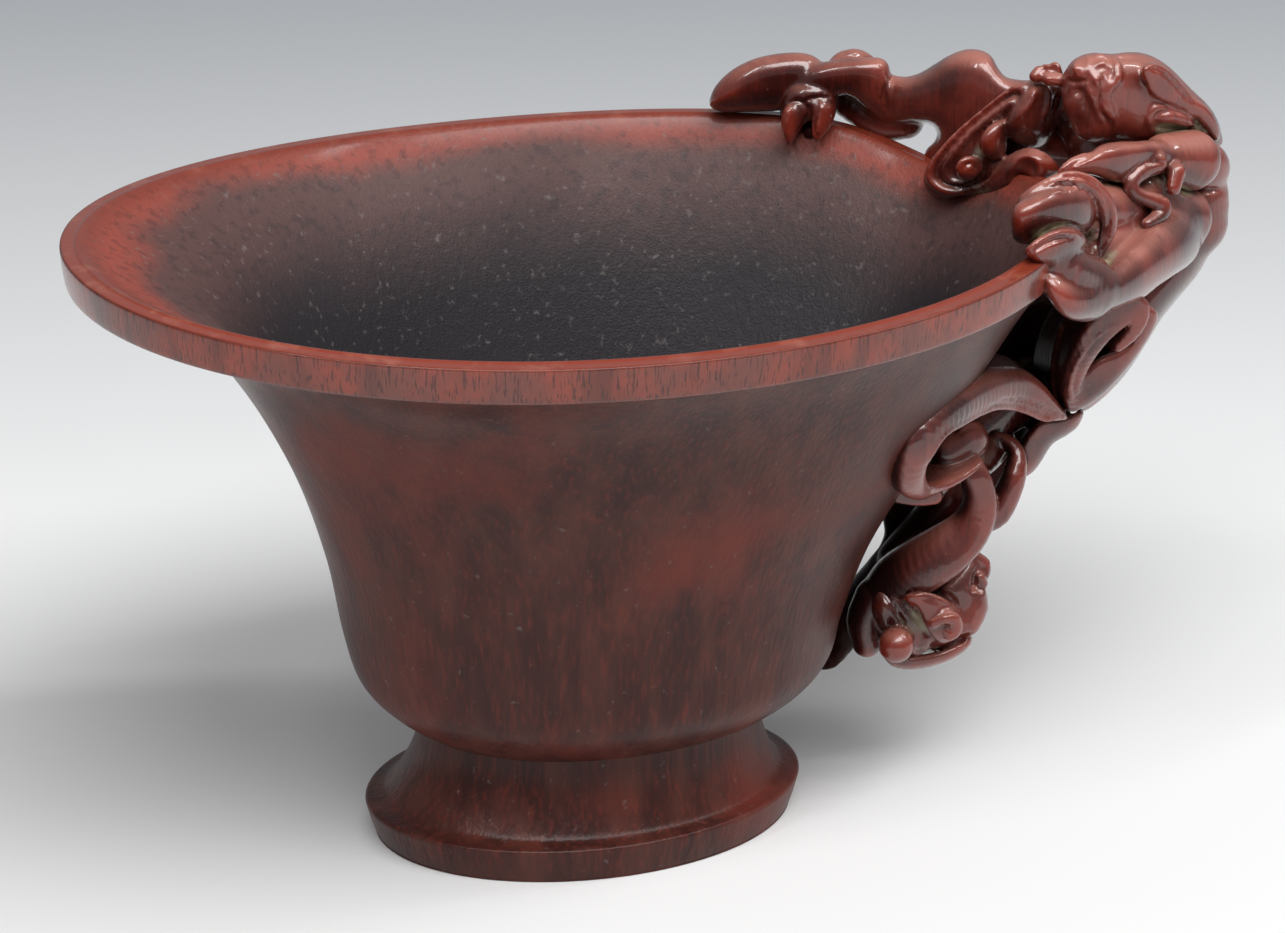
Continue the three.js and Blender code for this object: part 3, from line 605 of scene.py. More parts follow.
def cavity(block):
    # Over nought inside the cup's well, so that no carving reaches through the wall
    shape = block["field"].shape
    x, y, z = (block["low"][k] + np.arange(shape[k]) * clay["step"] for k in range(3))
    turn = np.arctan2(y[None, :] * cup["spoutReach"] / cup["mouthHalfWidth"], x[:, None])
    crease = lipHeight(turn)[:, :, None] - cup["bandHeight"]
    spout, handle, half = wallAt((z - cup["bowlBase"]) / (crease - cup["bowlBase"]))
    sunk = cup["wall"] * carvingSunk
    across = np.abs(x[:, None, None] - (handle - spout) / 2) / ((handle + spout) / 2 - sunk)
    aside = np.abs(y[None, :, None]) / (half - sunk)
    power = cup["fullness"]
    return ((1 - (across ** power + aside ** power) ** (1 / power)) * half).astype(np.float32)


blocks = {}


def carve(name, work):
    corners = [reachOf(form) for form in work["forms"].values()]
    low = np.min([low for low, _ in corners], 0) - 1
    block = newBlock(low, np.max([high for _, high in corners], 0) + 1)
    for form in work["forms"].values():
        part, field = formField(block, form)
        block["field"][part] = blendMin(block["field"][part], field, form["soft"])
    for form in work.get("cuts", {}).values():
        part, field = formField(block, form)
        block["field"][part] = -blendMin(-block["field"][part], field, form["soft"])
    for px, py, radius, sink in work.get("hollows", []):
        hit = surfaceSeen(block, px, py)
        if hit is not None:
            cutBar(block, [(*(hit - rayAt(px, py) * (radius - sink)), radius)], 0.3)
    for line, width in work.get("ridges", {}).values():
        for run in list(linesOn(block, line, width)):
            addBar(block, run, 0.25)
    for line, width in work.get("grooves", {}).values():
        for run in list(linesOn(block, line, width)):
            cutBar(block, run, 0.12)
    if work.get("trim"):
        block["field"] = np.maximum(block["field"], cavity(block))
    blocks[name] = block
    print("carved", name)


# The dragon that lies along the far rim, its claws over the lip
rimDragon = {
    "replaces": ["rim_dragon_haunch", "rim_dragon_hip", "rim_dragon_foreleg", "rim_dragon_body"],
    "forms": {
        "haunch": plate([(710, 106), (711, 95), (717, 84), (728, 73), (742, 64), (760, 57), (783, 53),
            (803, 53), (817, 58), (827, 70), (822, 86), (805, 102), (785, 110), (745, 112), (722, 112)],
            [(730, 90, 35.5), (815, 80, 31.5)], 7, 3.2, 0.5),
        "hip": swell([(829, 64), (836, 54), (846, 50), (856, 49), (866, 52), (875, 60), (868, 72),
            (845, 74)],
            [(850, 60, 31)], 1.0, 2.9, 0.5),
        "foreleg": swell([(783, 108), (784, 92), (790, 80), (800, 70), (815, 64), (838, 60), (862, 58),
            (880, 58), (888, 64), (891, 76), (896, 92), (893, 112), (885, 122), (873, 115), (860, 104),
            (848, 96), (830, 98), (815, 100), (800, 105), (790, 108)],
            [(790, 95, 32), (888, 90, 26)], 1.0, 3.8, 0.5),
        "body": swell([(886, 121), (884, 98), (891, 77), (905, 77), (920, 73), (935, 64), (948, 56),
            (960, 51), (971, 49), (983, 51), (992, 57), (998, 68), (1006, 77), (1020, 80), (1036, 82),
            (1034, 100), (1012, 116), (985, 132), (962, 148), (944, 158), (932, 165), (924, 160),
            (926, 150), (934, 142), (937, 133), (931, 125), (915, 123), (900, 123)],
            [(893, 100, 26), (970, 90, 18.5), (1015, 100, 14)], 1.0, 5.0, 0.8),
        "paw": swell([(780, 112), (781, 99), (788, 88), (802, 83), (820, 84), (834, 92), (837, 104),
            (832, 116), (822, 122), (810, 122), (800, 128), (788, 128), (782, 122)],
            [(788, 105, 31.0), (830, 105, 28.5)], 1.0, 3.4, 0.4),
        "clawLeft": plate([(782, 112), (788, 105), (800, 103), (808, 110), (805, 122), (798, 133),
            (789, 146), (784, 138), (781, 124)],
            [(795, 106, 29.0), (787, 142, 28.4)], 3.4, 1.4, 0.2),
        "clawRight": plate([(814, 104), (824, 100), (834, 104), (836, 112), (832, 124), (825, 134),
            (817, 142), (812, 134), (812, 118)],
            [(824, 104, 27.2), (818, 140, 26.6)], 3.4, 1.4, 0.2),
        "web": bar([(808, 104, 31.5, 1.8), (812, 119, "cup", 1.3), (810, 132, "cup", 0.9)], 0.4),
        "hindLeg": bar([(848, 102, 32, 2.2), (866, 110, 30.5, 2.7), (886, 119, 28.5, 2.9),
            (906, 121, 26, 2.4)], 0.6),
    },
    "ridges": {
        "clawEdgeLeft": ([(789, 104), (788, 118), (786, 132), (787, 142)], 0.35),
    },
    "grooves": {
        "wrist": ([(893, 76), (888, 86), (885, 98), (887, 113)], 0.5),
        "clawLeft": ([(788, 103), (798, 101), (806, 106), (809, 113), (803, 124), (795, 134)], 0.35),
        "clawRight": ([(818, 101), (816, 114), (813, 128), (817, 138)], 0.4),
        "underLeg": ([(800, 103), (815, 98), (832, 97)], 0.3),
    },
}
rimDragonFace = {
    "replaces": ["rim_dragon_head", "rim_dragon_mane", "rim_dragon_shoulder"],
    "forms": {
        "face": swell([(1014, 102), (1022, 87), (1032, 78), (1042, 75), (1056, 77), (1065, 83), (1070, 95),
            (1067, 107), (1059, 117), (1054, 131), (1047, 143), (1036, 148), (1022, 146), (1009, 138),
            (1003, 126), (1008, 112)],
            [(1040, 110, 7)], 1.0, 4.6, 0.4),
        "snoutLeft": bar([(1036, 76, 4, 0.9), (1039, 71, 4, 0.7)], 0.3),
        "snoutMiddle": bar([(1046, 70, 3.4, 0.8), (1047, 76, 3.4, 1.0)], 0.25),
        "snoutRight": bar([(1055, 68, 3.0, 0.8), (1056, 76, 3.0, 1.0)], 0.25),
        "upperLip": bar([(1049, 79, 1.0, 0.9), (1058, 80, 1.0, 1.0)], 0.15),
        "mane": plate([(1026, 82), (1006, 94), (985, 111), (960, 132), (942, 149), (930, 162), (924, 174),
            (924, 185), (929, 193), (940, 198), (953, 198), (968, 193), (985, 187), (1002, 180),
            (1008, 164), (1000, 148), (990, 138), (998, 124), (1014, 108), (1026, 94)],
            [(1015, 92, 6.5), (945, 165, 12), (950, 190, 11.5)], 5, 1.4, 0.3),
        "eye": plate([(957, 175), (957, 165), (963, 158), (973, 156), (981, 161), (983, 170), (977, 178),
            (966, 181)],
            [(970, 168, 7.6)], 3, 1.4, 0.15),
        "ear": swell([(1009, 121), (997, 121), (986, 129), (979, 142), (983, 154), (991, 160), (1002, 158),
            (1007, 147), (1006, 133)],
            [(995, 140, 6.5)], 1.0, 2.6, 0.15),
        "mound": swell([(962, 198), (972, 187), (985, 177), (996, 166), (1006, 157), (1020, 150),
            (1035, 149), (1048, 155), (1060, 167), (1058, 178), (1044, 188), (1030, 198), (1016, 203),
            (1000, 201), (980, 199)],
            [(970, 190, 11), (1050, 170, 3)], 1.15, 5.4, 0.5),
        "throat": bar([(1000, 132, 14, 4.6), (1036, 140, 15, 5.2), (1070, 142, 15, 5.4),
            (1105, 142, 12, 5.0)], 1.0),
        "nape": bar([(1066, 112, 11, 2.4), (1078, 124, 11, 3.0), (1094, 134, 9, 3.0)], 0.6),
    },
    "hollows": [(1044, 69, 0.8, 0.6), (1053, 69, 0.6, 0.4), (1024, 172, 2.0, 0.8), (1020, 184, 1.8, 0.7),
        (1013, 95, 0.9, 0.5)],
    "ridges": {
        "maneOuter": ([(1022, 84), (1005, 96), (985, 112), (960, 133), (943, 151), (932, 166), (930, 178),
            (938, 187), (953, 192), (972, 189), (988, 182)], 0.55),
        "maneInner": ([(1018, 98), (998, 112), (978, 128), (962, 144), (951, 158), (945, 170), (950, 180),
            (964, 184), (978, 181), (986, 172)], 0.5),
        "brow": ([(1034, 84), (1034, 94), (1028, 106), (1018, 118)], 0.45),
        "bridge": ([(1046, 82), (1049, 94), (1047, 108), (1040, 122)], 0.45),
        "eyeRing": ([(960, 176), (958, 167), (964, 160), (973, 159), (980, 164), (979, 172), (973, 176)],
            0.35),
        "moundEdge": ([(985, 174), (998, 162), (1012, 153), (1030, 150), (1046, 156), (1056, 165)], 0.35),
    },
    "grooves": {
        "maneLine": ([(1016, 92), (995, 106), (972, 125), (953, 145), (941, 160), (937, 172), (943, 182),
            (958, 187), (975, 185), (990, 176)], 0.4),
        "eyeCurl": ([(963, 172), (966, 166), (972, 164), (975, 168), (971, 172)], 0.3),
        "mouth": ([(1060, 84), (1057, 96), (1053, 112), (1051, 128)], 0.35),
        "lipTop": ([(1047, 76), (1054, 75), (1060, 77)], 0.3),
    },
}
# The dragon on the crest of the handle
crestDragonFace = {
    "replaces": ["crest_dragon_head", "crest_dragon_mane"],
    "forms": {
        "skull": swell([(1066, 80), (1068, 66), (1078, 57), (1092, 53), (1112, 54), (1130, 52), (1146, 54),
            (1161, 61), (1176, 73), (1191, 89), (1206, 103), (1216, 117), (1221, 132), (1221, 146),
            (1195, 147), (1165, 147), (1130, 146), (1105, 143), (1093, 135), (1084, 118), (1074, 100)],
            [(1140, 100, 0.5)], 0.9, 6.5, 0.5),
        "cheek": bar([(1076, 84, 0, 2.0), (1084, 100, -1, 2.8), (1094, 118, -1.5, 3.2)], 0.8),
        "mane": plate([(1145, 65), (1156, 64), (1168, 70), (1181, 83), (1193, 97), (1205, 105),
            (1215, 118), (1220, 134), (1216, 140), (1204, 127), (1188, 114), (1168, 106), (1153, 98),
            (1145, 86), (1141, 74)],
            [(1150, 75, -5.6), (1210, 125, -3.2)], 5, 0.9, 0.1),
    },
    "hollows": [(1077, 92, 0.8, 0.3)],
    "ridges": {
        "noseRim": ([(1066, 74), (1065, 64), (1071, 56), (1079, 53), (1087, 56), (1089, 63)], 0.55),
        "noseFace": ([(1076, 64), (1077, 74)], 0.9),
        "browTop": ([(1093, 58), (1100, 57), (1108, 59)], 0.55),
        "browLow": ([(1094, 66), (1102, 64), (1110, 68)], 0.55),
        "eyelid": ([(1091, 73), (1096, 80), (1098, 90)], 0.55),
        "earLeaf": ([(1155, 118), (1168, 116), (1182, 119), (1194, 123)], 0.9),
        "browLine": ([(1113, 56), (1116, 66), (1117, 78), (1109, 88), (1106, 98), (1110, 112),
            (1114, 124)], 0.7),
        "muzzleLine": ([(1086, 82), (1092, 96), (1097, 110), (1104, 126)], 0.55),
        "cheekLine": ([(1102, 72), (1106, 82), (1101, 94), (1104, 106), (1110, 118)], 0.5),
        "earRim": ([(1150, 130), (1149, 118), (1154, 109), (1167, 106), (1181, 111), (1195, 119)], 0.6),
    },
    "grooves": {
        "maneTop": ([(1148, 68), (1160, 70), (1172, 80), (1184, 94), (1192, 103)], 0.4),
        "crown": ([(1114, 55), (1122, 58), (1140, 58)], 0.3),
        "noseLeft": ([(1069, 60), (1077, 57), (1085, 60)], 0.3),
        "lipLine": ([(1067, 80), (1074, 82), (1084, 81), (1088, 72)], 0.4),
        "earLow": ([(1154, 126), (1170, 127), (1188, 127)], 0.4),
        "maneLow": ([(1143, 76), (1146, 88), (1155, 99), (1170, 107), (1188, 115), (1204, 128)], 0.35),
    },
}
handleTrunk = {
    "replaces": ["crest_dragon_shoulder", "handle_trunk"],
    "forms": {
        "shoulder": swell([(1160, 148), (1172, 139), (1190, 136), (1208, 139), (1221, 147), (1229, 160),
            (1229, 175), (1220, 187), (1204, 190), (1187, 185), (1175, 172), (1167, 158)],
            [(1200, 160, -2)], 1.0, 6.5, 0.5),
        "trunk": swell([(1193, 186), (1210, 187), (1221, 194), (1224, 212), (1219, 233), (1209, 254),
            (1198, 274), (1180, 296), (1162, 318), (1146, 344), (1126, 374), (1102, 399), (1082, 412),
            (1068, 406), (1072, 388), (1094, 362), (1112, 338), (1126, 312), (1142, 288), (1166, 264),
            (1182, 240), (1190, 215)],
            [(1210, 210, 0), (1190, 270, -1), (1100, 390, -5)], 1.0, 5.0, 0.5),
        "chest": bar([(1105, 152, 3, 5.0), (1145, 168, 3, 6.0), (1180, 190, 2, 6.0), (1190, 220, 1, 5.0)],
            1.0),
    },
    "grooves": {
        "shoulderFold": ([(1182, 184), (1200, 190), (1221, 190)], 0.5),
    },
}
crestDragonArm = {
    "replaces": ["crest_dragon_forearm"],
    "forms": {
        "forearm": swell([(1056, 175), (1066, 164), (1080, 156), (1092, 151), (1101, 145), (1116, 142),
            (1140, 141), (1160, 141), (1172, 148), (1179, 160), (1181, 173), (1172, 179), (1160, 169),
            (1145, 168), (1134, 177), (1122, 185), (1108, 180), (1092, 175), (1074, 175)],
            [(1080, 165, -13), (1170, 160, -8)], 1.0, 4.0, 0.3),
        "hand": bar([(1154, 162, -11, 1.7), (1142, 169, -12, 1.4), (1131, 181, -13, 1.1),
            (1134, 193, -13.5, 1.0), (1148, 199, -13.5, 1.1), (1162, 205, -13.5, 1.15),
            (1160, 215, -14, 1.05), (1147, 224, -15, 0.8)], 0.25),
        "palm": swell([(1140, 172), (1158, 172), (1168, 184), (1170, 202), (1160, 214), (1146, 220),
            (1138, 208), (1134, 190)],
            [(1150, 180, -8), (1150, 215, -11)], 1.0, 2.2, 0.3),
        "thumb": bar([(1176, 172, -11, 1.3), (1173, 188, -12, 1.0)], 0.2),
        "elbow": bar([(1165, 158, -7, 3.2), (1190, 160, -5, 4.0)], 0.8),
    },
    "ridges": {
        "cuff": ([(1058, 172), (1070, 162), (1088, 153)], 0.4),
    },
    "grooves": {
        "cuffLine": ([(1064, 172), (1077, 163), (1092, 157)], 0.3),
        "wrist": ([(1148, 163), (1160, 162), (1170, 168)], 0.35),
        "palm": ([(1143, 180), (1152, 190), (1166, 198)], 0.35),
    },
}
nearHaunch = {
    "replaces": ["crest_dragon_haunch", "crest_dragon_paw", "crest_dragon_flank"],
    "forms": {
        "ball": swell([(1011, 226), (1012, 210), (1021, 200), (1040, 191), (1060, 184), (1079, 184),
            (1092, 192), (1098, 206), (1096, 222), (1084, 236), (1066, 236), (1048, 238), (1034, 243),
            (1021, 244), (1013, 238)],
            [(1020, 220, -24), (1090, 210, -21)], 1.0, 5.0, 0.25),
        "thigh": bar([(1022, 199, -24, 0.5), (1034, 192, -24, 0.75), (1052, 183, -24, 0.85),
            (1070, 178, -23.5, 0.95), (1088, 183, -23, 1.05), (1100, 196, -22.5, 1.2),
            (1107, 212, -22, 1.3), (1108, 230, -21.5, 1.1), (1101, 248, -21, 0.8), (1093, 260, -21, 0.4)],
            0.15),
        "paw": swell([(1024, 252), (1030, 244), (1045, 234), (1060, 227), (1074, 227), (1084, 234),
            (1087, 244), (1080, 252), (1068, 259), (1056, 266), (1040, 265), (1030, 258)],
            [(1030, 250, -30), (1080, 240, -27)], 1.0, 3.2, 0.2),
        "flank": swell([(1040, 270), (1052, 261), (1066, 262), (1080, 270), (1094, 272), (1108, 262),
            (1126, 245), (1146, 226), (1163, 211), (1178, 206), (1191, 212), (1199, 226), (1201, 244),
            (1192, 262), (1174, 275), (1158, 286), (1140, 300), (1118, 309), (1100, 318), (1082, 321),
            (1068, 319), (1056, 309), (1046, 294), (1039, 280)],
            [(1050, 285, -27), (1130, 265, -17), (1190, 235, -8)], 1.0, 6.0, 0.6),
        "knee": bar([(1052, 254, -28, 2.4), (1062, 270, -27, 3.4), (1080, 285, -24, 4.4)], 0.8),
        "saddle": bar([(1055, 262, -22, 3.0), (1085, 258, -17, 4.0), (1115, 240, -12, 4.2),
            (1150, 218, -8, 4.2), (1180, 218, -4, 4.2)], 1.0),
        "hip": bar([(1045, 215, -18, 3.0), (1080, 212, -15, 3.6), (1110, 212, -11, 4.0),
            (1150, 200, -7, 4)], 0.8),
    },
    "ridges": {
        "pawEdge": ([(1028, 250), (1042, 240), (1056, 234), (1070, 233), (1081, 238)], 0.5),
        "oval": ([(1044, 190), (1054, 184), (1066, 181), (1077, 183), (1076, 188), (1064, 191),
            (1050, 193)], 0.3),
    },
    "grooves": {
        "thighLine": ([(1040, 186), (1058, 178), (1080, 177), (1098, 187), (1108, 204), (1109, 224),
            (1102, 243)], 0.3),
        "oval": ([(1050, 188), (1058, 184), (1070, 183), (1074, 186), (1064, 189), (1054, 190)], 0.3),
        "pawLine": ([(1030, 254), (1045, 244), (1060, 238), (1074, 238)], 0.4),
        "pawTop": ([(1040, 234), (1056, 226), (1072, 225), (1084, 231)], 0.4),
    },
}
tail = {
    "trim": True,
    "replaces": ["upper_tail_curl", "lower_tail_curl", "tail_curl_knob", "tail_strip", "handle_root"],
    "forms": {
        "upperCurl": ribbon([(1073, 403, -14, 1.2), (1071, 386, -15.5, 1.5), (1078, 361, -17, 1.9),
            (1092, 337, -18.5, 2.2), (1109, 319, -19, 2.3), (1126, 308, -19, 2.2), (1137, 309, -19, 1.7),
            (1137, 321, -19, 1.4), (1129, 334, -18.5, 1.2), (1118, 345, -18, 0.9)], 9.5, 0.8),
        "curlBack": plate([(1130, 298), (1148, 304), (1158, 316), (1150, 336), (1134, 360), (1114, 384),
            (1096, 400), (1080, 409), (1070, 402), (1070, 384), (1084, 370), (1100, 357), (1118, 350),
            (1132, 336)],
            [(1140, 320, -15.5), (1085, 395, -14.5)], 8, 1.2, 0.3),
        "lowerCurl": ribbon([(1063, 416, -13.5, 0.5), (1046, 408, -14.5, 1.7), (1029, 396, -15.5, 2.4),
            (1011, 388, -16.5, 2.8), (991, 389, -18.5, 2.9), (970, 397, -21, 2.9), (950, 409, -24, 2.75),
            (931, 425, -26, 2.6), (916, 445, -27, 2.5), (909, 465, -26, 2.4), (910, 480, -24, 2.1),
            (920, 489, -21, 1.4), (934, 487, -19, 0.9), (950, 481, -17.5, 0.8), (967, 471, -16, 0.65),
            (979, 461, -15.5, 0.5)], 8, 1.5),
        "knob": swell([(955, 432), (962, 423), (972, 419), (982, 424), (988, 435), (988, 447), (980, 458),
            (966, 464), (956, 458)],
            [(972, 442, -12)], 1.0, 3.2, 0.3),
        "knobStem": bar([(944, 452, -12, 2.6), (958, 444, -12, 2.6), (968, 440, -12, 2.4)], 0.5),
        "step": plate([(893, 484), (905, 488), (938, 488), (941, 502), (922, 506), (902, 504), (893, 500)],
            [(915, 498, -15)], 5, 0.4, 0.1),
        "web": plate([(1084, 345), (1100, 322), (1122, 316), (1134, 326), (1126, 348), (1108, 368),
            (1088, 376)],
            [(1105, 345, -6)], 3, 1.2, 0.5),
        "strip": plate([(1083, 411), (1079, 425), (1069, 434), (1054, 443), (1047, 452), (1041, 462),
            (1033, 472), (1024, 477), (1020, 470), (1021, 458), (1019, 445), (1027, 432), (1040, 421),
            (1062, 417)],
            [(1075, 415, -12), (1030, 460, -8)], 6, 1.2, 0.3),
        "root": bar([(925, 470, -8, 4.0), (965, 432, -5, 4.0), (1010, 400, -4, 4.0), (1050, 395, -4, 3.4)],
            0.8),
        "cross": bar([(1050, 402, -6, 2.8), (1028, 384, 0, 3.2), (1003, 363, 8, 3.2), (984, 336, 14, 2.8)],
            0.6),
        # These two fill openings behind the curls, and the openwork's painted shade darkens them
        "recess": swell([(978, 375), (984, 350), (1000, 325), (1022, 300), (1062, 294), (1084, 310),
            (1080, 350), (1066, 398), (1035, 392), (1005, 380)],
            [(1030, 340, 3)], 0.8, 3.0, 0.6),
        "dark": plate([(982, 408), (1040, 414), (1026, 440), (1018, 468), (1002, 500), (986, 520),
            (976, 490), (980, 450)],
            [(1005, 450, -2)], 4, 1.5, 0.5),
    },
    "ridges": {
        "curlSide": ([(1064, 322), (1058, 342), (1054, 364), (1054, 386), (1058, 400), (1064, 411)], 0.55),
        "curlRim": ([(1073, 404), (1070, 388), (1074, 370), (1082, 354), (1094, 340), (1108, 330),
            (1122, 322)], 0.3),
        "lowerRim": ([(1058, 419), (1044, 419), (1028, 412), (1012, 408), (996, 408), (980, 414),
            (962, 424), (947, 433), (936, 447), (928, 463), (928, 476), (934, 484)], 0.35),
        "curlTop": ([(1104, 314), (1115, 306), (1127, 300), (1138, 298)], 0.25),
    },
    "grooves": {
        "lowerLine": ([(1000, 399), (1020, 400), (1036, 404), (1050, 411), (1062, 417)], 0.35),
        "lowerLineTwo": ([(990, 405), (1008, 404), (1026, 407), (1042, 414), (1056, 418)], 0.3),
        "curlLine": ([(1076, 400), (1074, 386), (1079, 368), (1088, 352), (1100, 338), (1114, 329)], 0.25),
        "knobTop": ([(960, 436), (968, 428), (978, 428)], 0.4),
    },
}
# The same curls on the far side, painted in shade where they show through the openings; their shape there
# is a guess
farCurls = {
    "trim": True,
    "replaces": ["far_upper_curl", "far_lower_curl"],
    "forms": {
        "upper": ribbon([(1073, 403, -14, 1.4), (1071, 386, -15.5, 1.8), (1078, 361, -17, 2.2),
            (1092, 337, -18.5, 2.4), (1109, 319, -19, 2.5), (1130, 310, -19, 2.4), (1142, 322, -18.5, 2.4),
            (1134, 345, -18, 2.4), (1116, 368, -16.5, 2.4), (1094, 390, -15, 2.2), (1078, 402, -14, 1.6)],
            9.5, 0.8, 0.25, True),
        "lower": ribbon([(1063, 416, -13.5, 0.9), (1046, 408, -14.5, 1.8), (1029, 396, -15.5, 2.4),
            (1011, 388, -16.5, 2.8), (991, 389, -18.5, 2.9), (970, 397, -21, 2.9), (950, 409, -24, 2.75),
            (931, 425, -26, 2.6), (916, 445, -27, 2.5), (909, 465, -26, 2.4), (910, 480, -24, 2.1),
            (920, 489, -21, 1.5)], 8, 1.5, 0.25, True),
    },
}
# The small dragon that climbs the foot of the handle
climber = {
    "trim": True,
    "replaces": ["climbing_dragon_body", "climbing_dragon_paw", "climbing_dragon_leg"],
    "forms": {
        "body": bar([(962, 462, -12.5, 1.5), (972, 472, -13, 1.9), (979, 490, -13, 2.1),
            (978, 511, -13, 2.4), (967, 531, -12.5, 2.9), (945, 550, -11.5, 3.5), (920, 566, -10, 3.7),
            (899, 580, -8, 3.6), (882, 596, -6, 3.0)], 0.5, 1.0, 4),
        "leaf": bar([(997, 437, -9, 0.8), (1010, 443, -10, 1.0), (1017, 456, -11, 1.2),
            (1014, 476, -12, 1.6), (1006, 496, -12, 1.8), (998, 513, -12, 1.7), (991, 523, -12, 1.1)],
            0.3),
        "leafRoot": bar([(1000, 440, -6, 2.0), (985, 452, -8, 2.6), (974, 466, -10, 2.2)], 0.6),
        "shadowLimb": plate([(886, 503), (920, 500), (955, 498), (966, 510), (948, 530), (912, 552),
            (895, 570), (880, 582), (866, 580), (873, 560), (884, 535), (883, 518)],
            [(900, 540, 2)], 5, 2.0, 0.4),
        "hindLimb": bar([(890, 575, 0, 3.4), (868, 598, 2, 3.2), (850, 618, 4, 2.6)], 0.8),
        "hindFoot": bar([(850, 622, 4, 2.3), (840, 642, 4, 1.9), (830, 658, 4, 1.4), (822, 663, 4.5, 0.9)],
            0.4),
        "hindToe": bar([(845, 640, 3, 1.0), (838, 652, 3, 1.1)], 0.15),
        "foreLimb": bar([(874, 598, -7, 2.6), (865, 620, -6.5, 2.4), (867, 642, -6.5, 2.0)], 0.5),
        "shoulder": bar([(950, 500, -6, 2.6), (925, 530, -4, 3.0), (900, 560, -3, 3.0)], 0.8),
    },
}
climberFace = {
    "replaces": ["climbing_dragon_head", "climbing_dragon_ear", "climbing_dragon_jaw"],
    "forms": {
        "skull": swell([(966, 551), (987, 560), (989, 573), (984, 590), (984, 606), (980, 620), (971, 633),
            (960, 646), (935, 652), (905, 652), (888, 645), (874, 625), (871, 602), (881, 586), (897, 580),
            (916, 594), (936, 581), (955, 566)],
            [(930, 610, -8)], 1.0, 5.5, 0.4),
        "brow": swell([(903, 598), (917, 591), (935, 594), (950, 603), (959, 614), (959, 629), (951, 641),
            (938, 643), (927, 632), (918, 615)],
            [(940, 618, -13)], 1.0, 2.6, 0.15),
        "curlTip": bar([(934, 622, -15.2, 0.8), (944, 617, -15.6, 0.9), (953, 619, -15.4, 1.0),
            (955, 628, -15.2, 1.0), (950, 634, -15.2, 0.9), (945, 630, -15.2, 0.5)], 0.15),
        "muzzle": bar([(968, 592, -10, 2.4), (970, 606, -10.5, 2.4), (965, 620, -11, 2.2)], 0.8),
        "noseTop": bar([(972, 557, -9.5, 1.0), (983, 564, -9.5, 1.0), (983, 574, -10, 0.9)], 0.3),
        "nostrilTop": bar([(978, 578, -11, 0.9), (982, 583, -11, 0.8)], 0.2),
        "nostrilLow": bar([(976, 591, -11.5, 0.9), (980, 595, -11.5, 0.8)], 0.2),
        "cheek": bar([(889, 590, -9, 1.8), (896, 604, -10, 2.0), (906, 622, -11, 2.0),
            (916, 640, -11.5, 2.0)], 0.8),
        "earBall": bar([(898, 643, -11.5, 2.3), (896, 645, -14.5, 2.3)], 0.1),
        "jaw": swell([(882, 652), (900, 656), (925, 654), (948, 648), (965, 638), (972, 637), (968, 648),
            (950, 660), (925, 668), (903, 669), (889, 664)],
            [(925, 660, -11)], 1.0, 3.6, 0.3),
    },
    "hollows": [(977, 585, 0.8, 0.5), (981, 589, 0.6, 0.4)],
    "ridges": {
        "browEdge": ([(910, 597), (926, 595), (942, 601), (954, 611)], 0.4),
    },
    "grooves": {
        "mouth": ([(912, 650), (930, 651), (948, 646), (961, 639), (972, 632)], 0.6),
        "browHook": ([(930, 620), (942, 613), (956, 613)], 0.35),
        "cheekLine": ([(882, 588), (892, 604), (902, 622), (911, 640)], 0.4),
        "browLow": ([(914, 604), (921, 620), (930, 636), (940, 644)], 0.5),
        "noseLine": ([(936, 590), (950, 598), (960, 609)], 0.6),
        "snoutLine": ([(976, 568), (974, 580), (972, 592)], 0.4),
    },
}
carvings = {
    "rim_dragon": rimDragon, "rim_dragon_face": rimDragonFace, "crest_dragon_face": crestDragonFace,
    "handle_spine": handleTrunk, "crest_dragon_arm": crestDragonArm, "near_haunch": nearHaunch,
    "tail_curls": tail, "far_curls": farCurls, "climbing_dragon": climber,
    "climbing_dragon_face": climberFace,
}


def cupSolid(points):
    # True in the cup's own horn, for the crevices where the carving meets it
    x, y, z = points.T
    turn = np.arctan2(y * cup["spoutReach"] / cup["mouthHalfWidth"], x)
    lip = np.interp(turn % (2 * math.pi), np.append(turns, 2 * math.pi), np.append(lipZ, lipZ[0]))
    share = np.clip((z - cup["bowlBase"]) / (lip - cup["bandHeight"] - cup["bowlBase"]), 0, 1)
    spout, handle, half = wallAt(share)
    middle, reach = (handle - spout) / 2, (handle + spout) / 2

    def within(inset):
        power = cup["fullness"]
        return (np.abs((x - middle) / (reach - inset)) ** power + np.abs(y / (half - inset)) ** power) < 1
    return within(0) & ~within(cup["wall"]) & (z < lip)


crevice = {"step": 0.5, "reach": 3}   # how finely, and over how many cells, hollows are told from ridges


def topOf(block):
    return block["low"] + np.array(block["field"].shape) * clay["step"]


def crevices():
    low = np.min([block["low"] for block in blocks.values()], 0) - 2
    high = np.max([topOf(block) for block in blocks.values()], 0) + 2
    step = crevice["step"]
    shape = np.ceil((high - low) / step).astype(int)
    solid = np.zeros(shape, np.float32)
    for k in range(shape[2]):
        gx, gy = np.meshgrid(low[0] + np.arange(shape[0]) * step, low[1] + np.arange(shape[1]) * step,
                             indexing="ij")
        layer = np.stack([gx.ravel(), gy.ravel(), np.full(gx.size, low[2] + k * step)], 1)
        filled = cupSolid(layer)
        for block in blocks.values():
            if block["low"][2] - 1 < layer[0, 2] < topOf(block)[2] + 1:
                filled |= sample(block, layer) < 0
        solid[:, :, k] = filled.reshape(gx.shape)
    reach = crevice["reach"]
    for _ in range(2):
        for axis in range(3):
            solid = sum(np.roll(solid, shift, axis) for shift in range(-reach, reach + 1)) / (2 * reach + 1)
    return {"low": low, "field": solid, "step": step, "outside": 0.5}
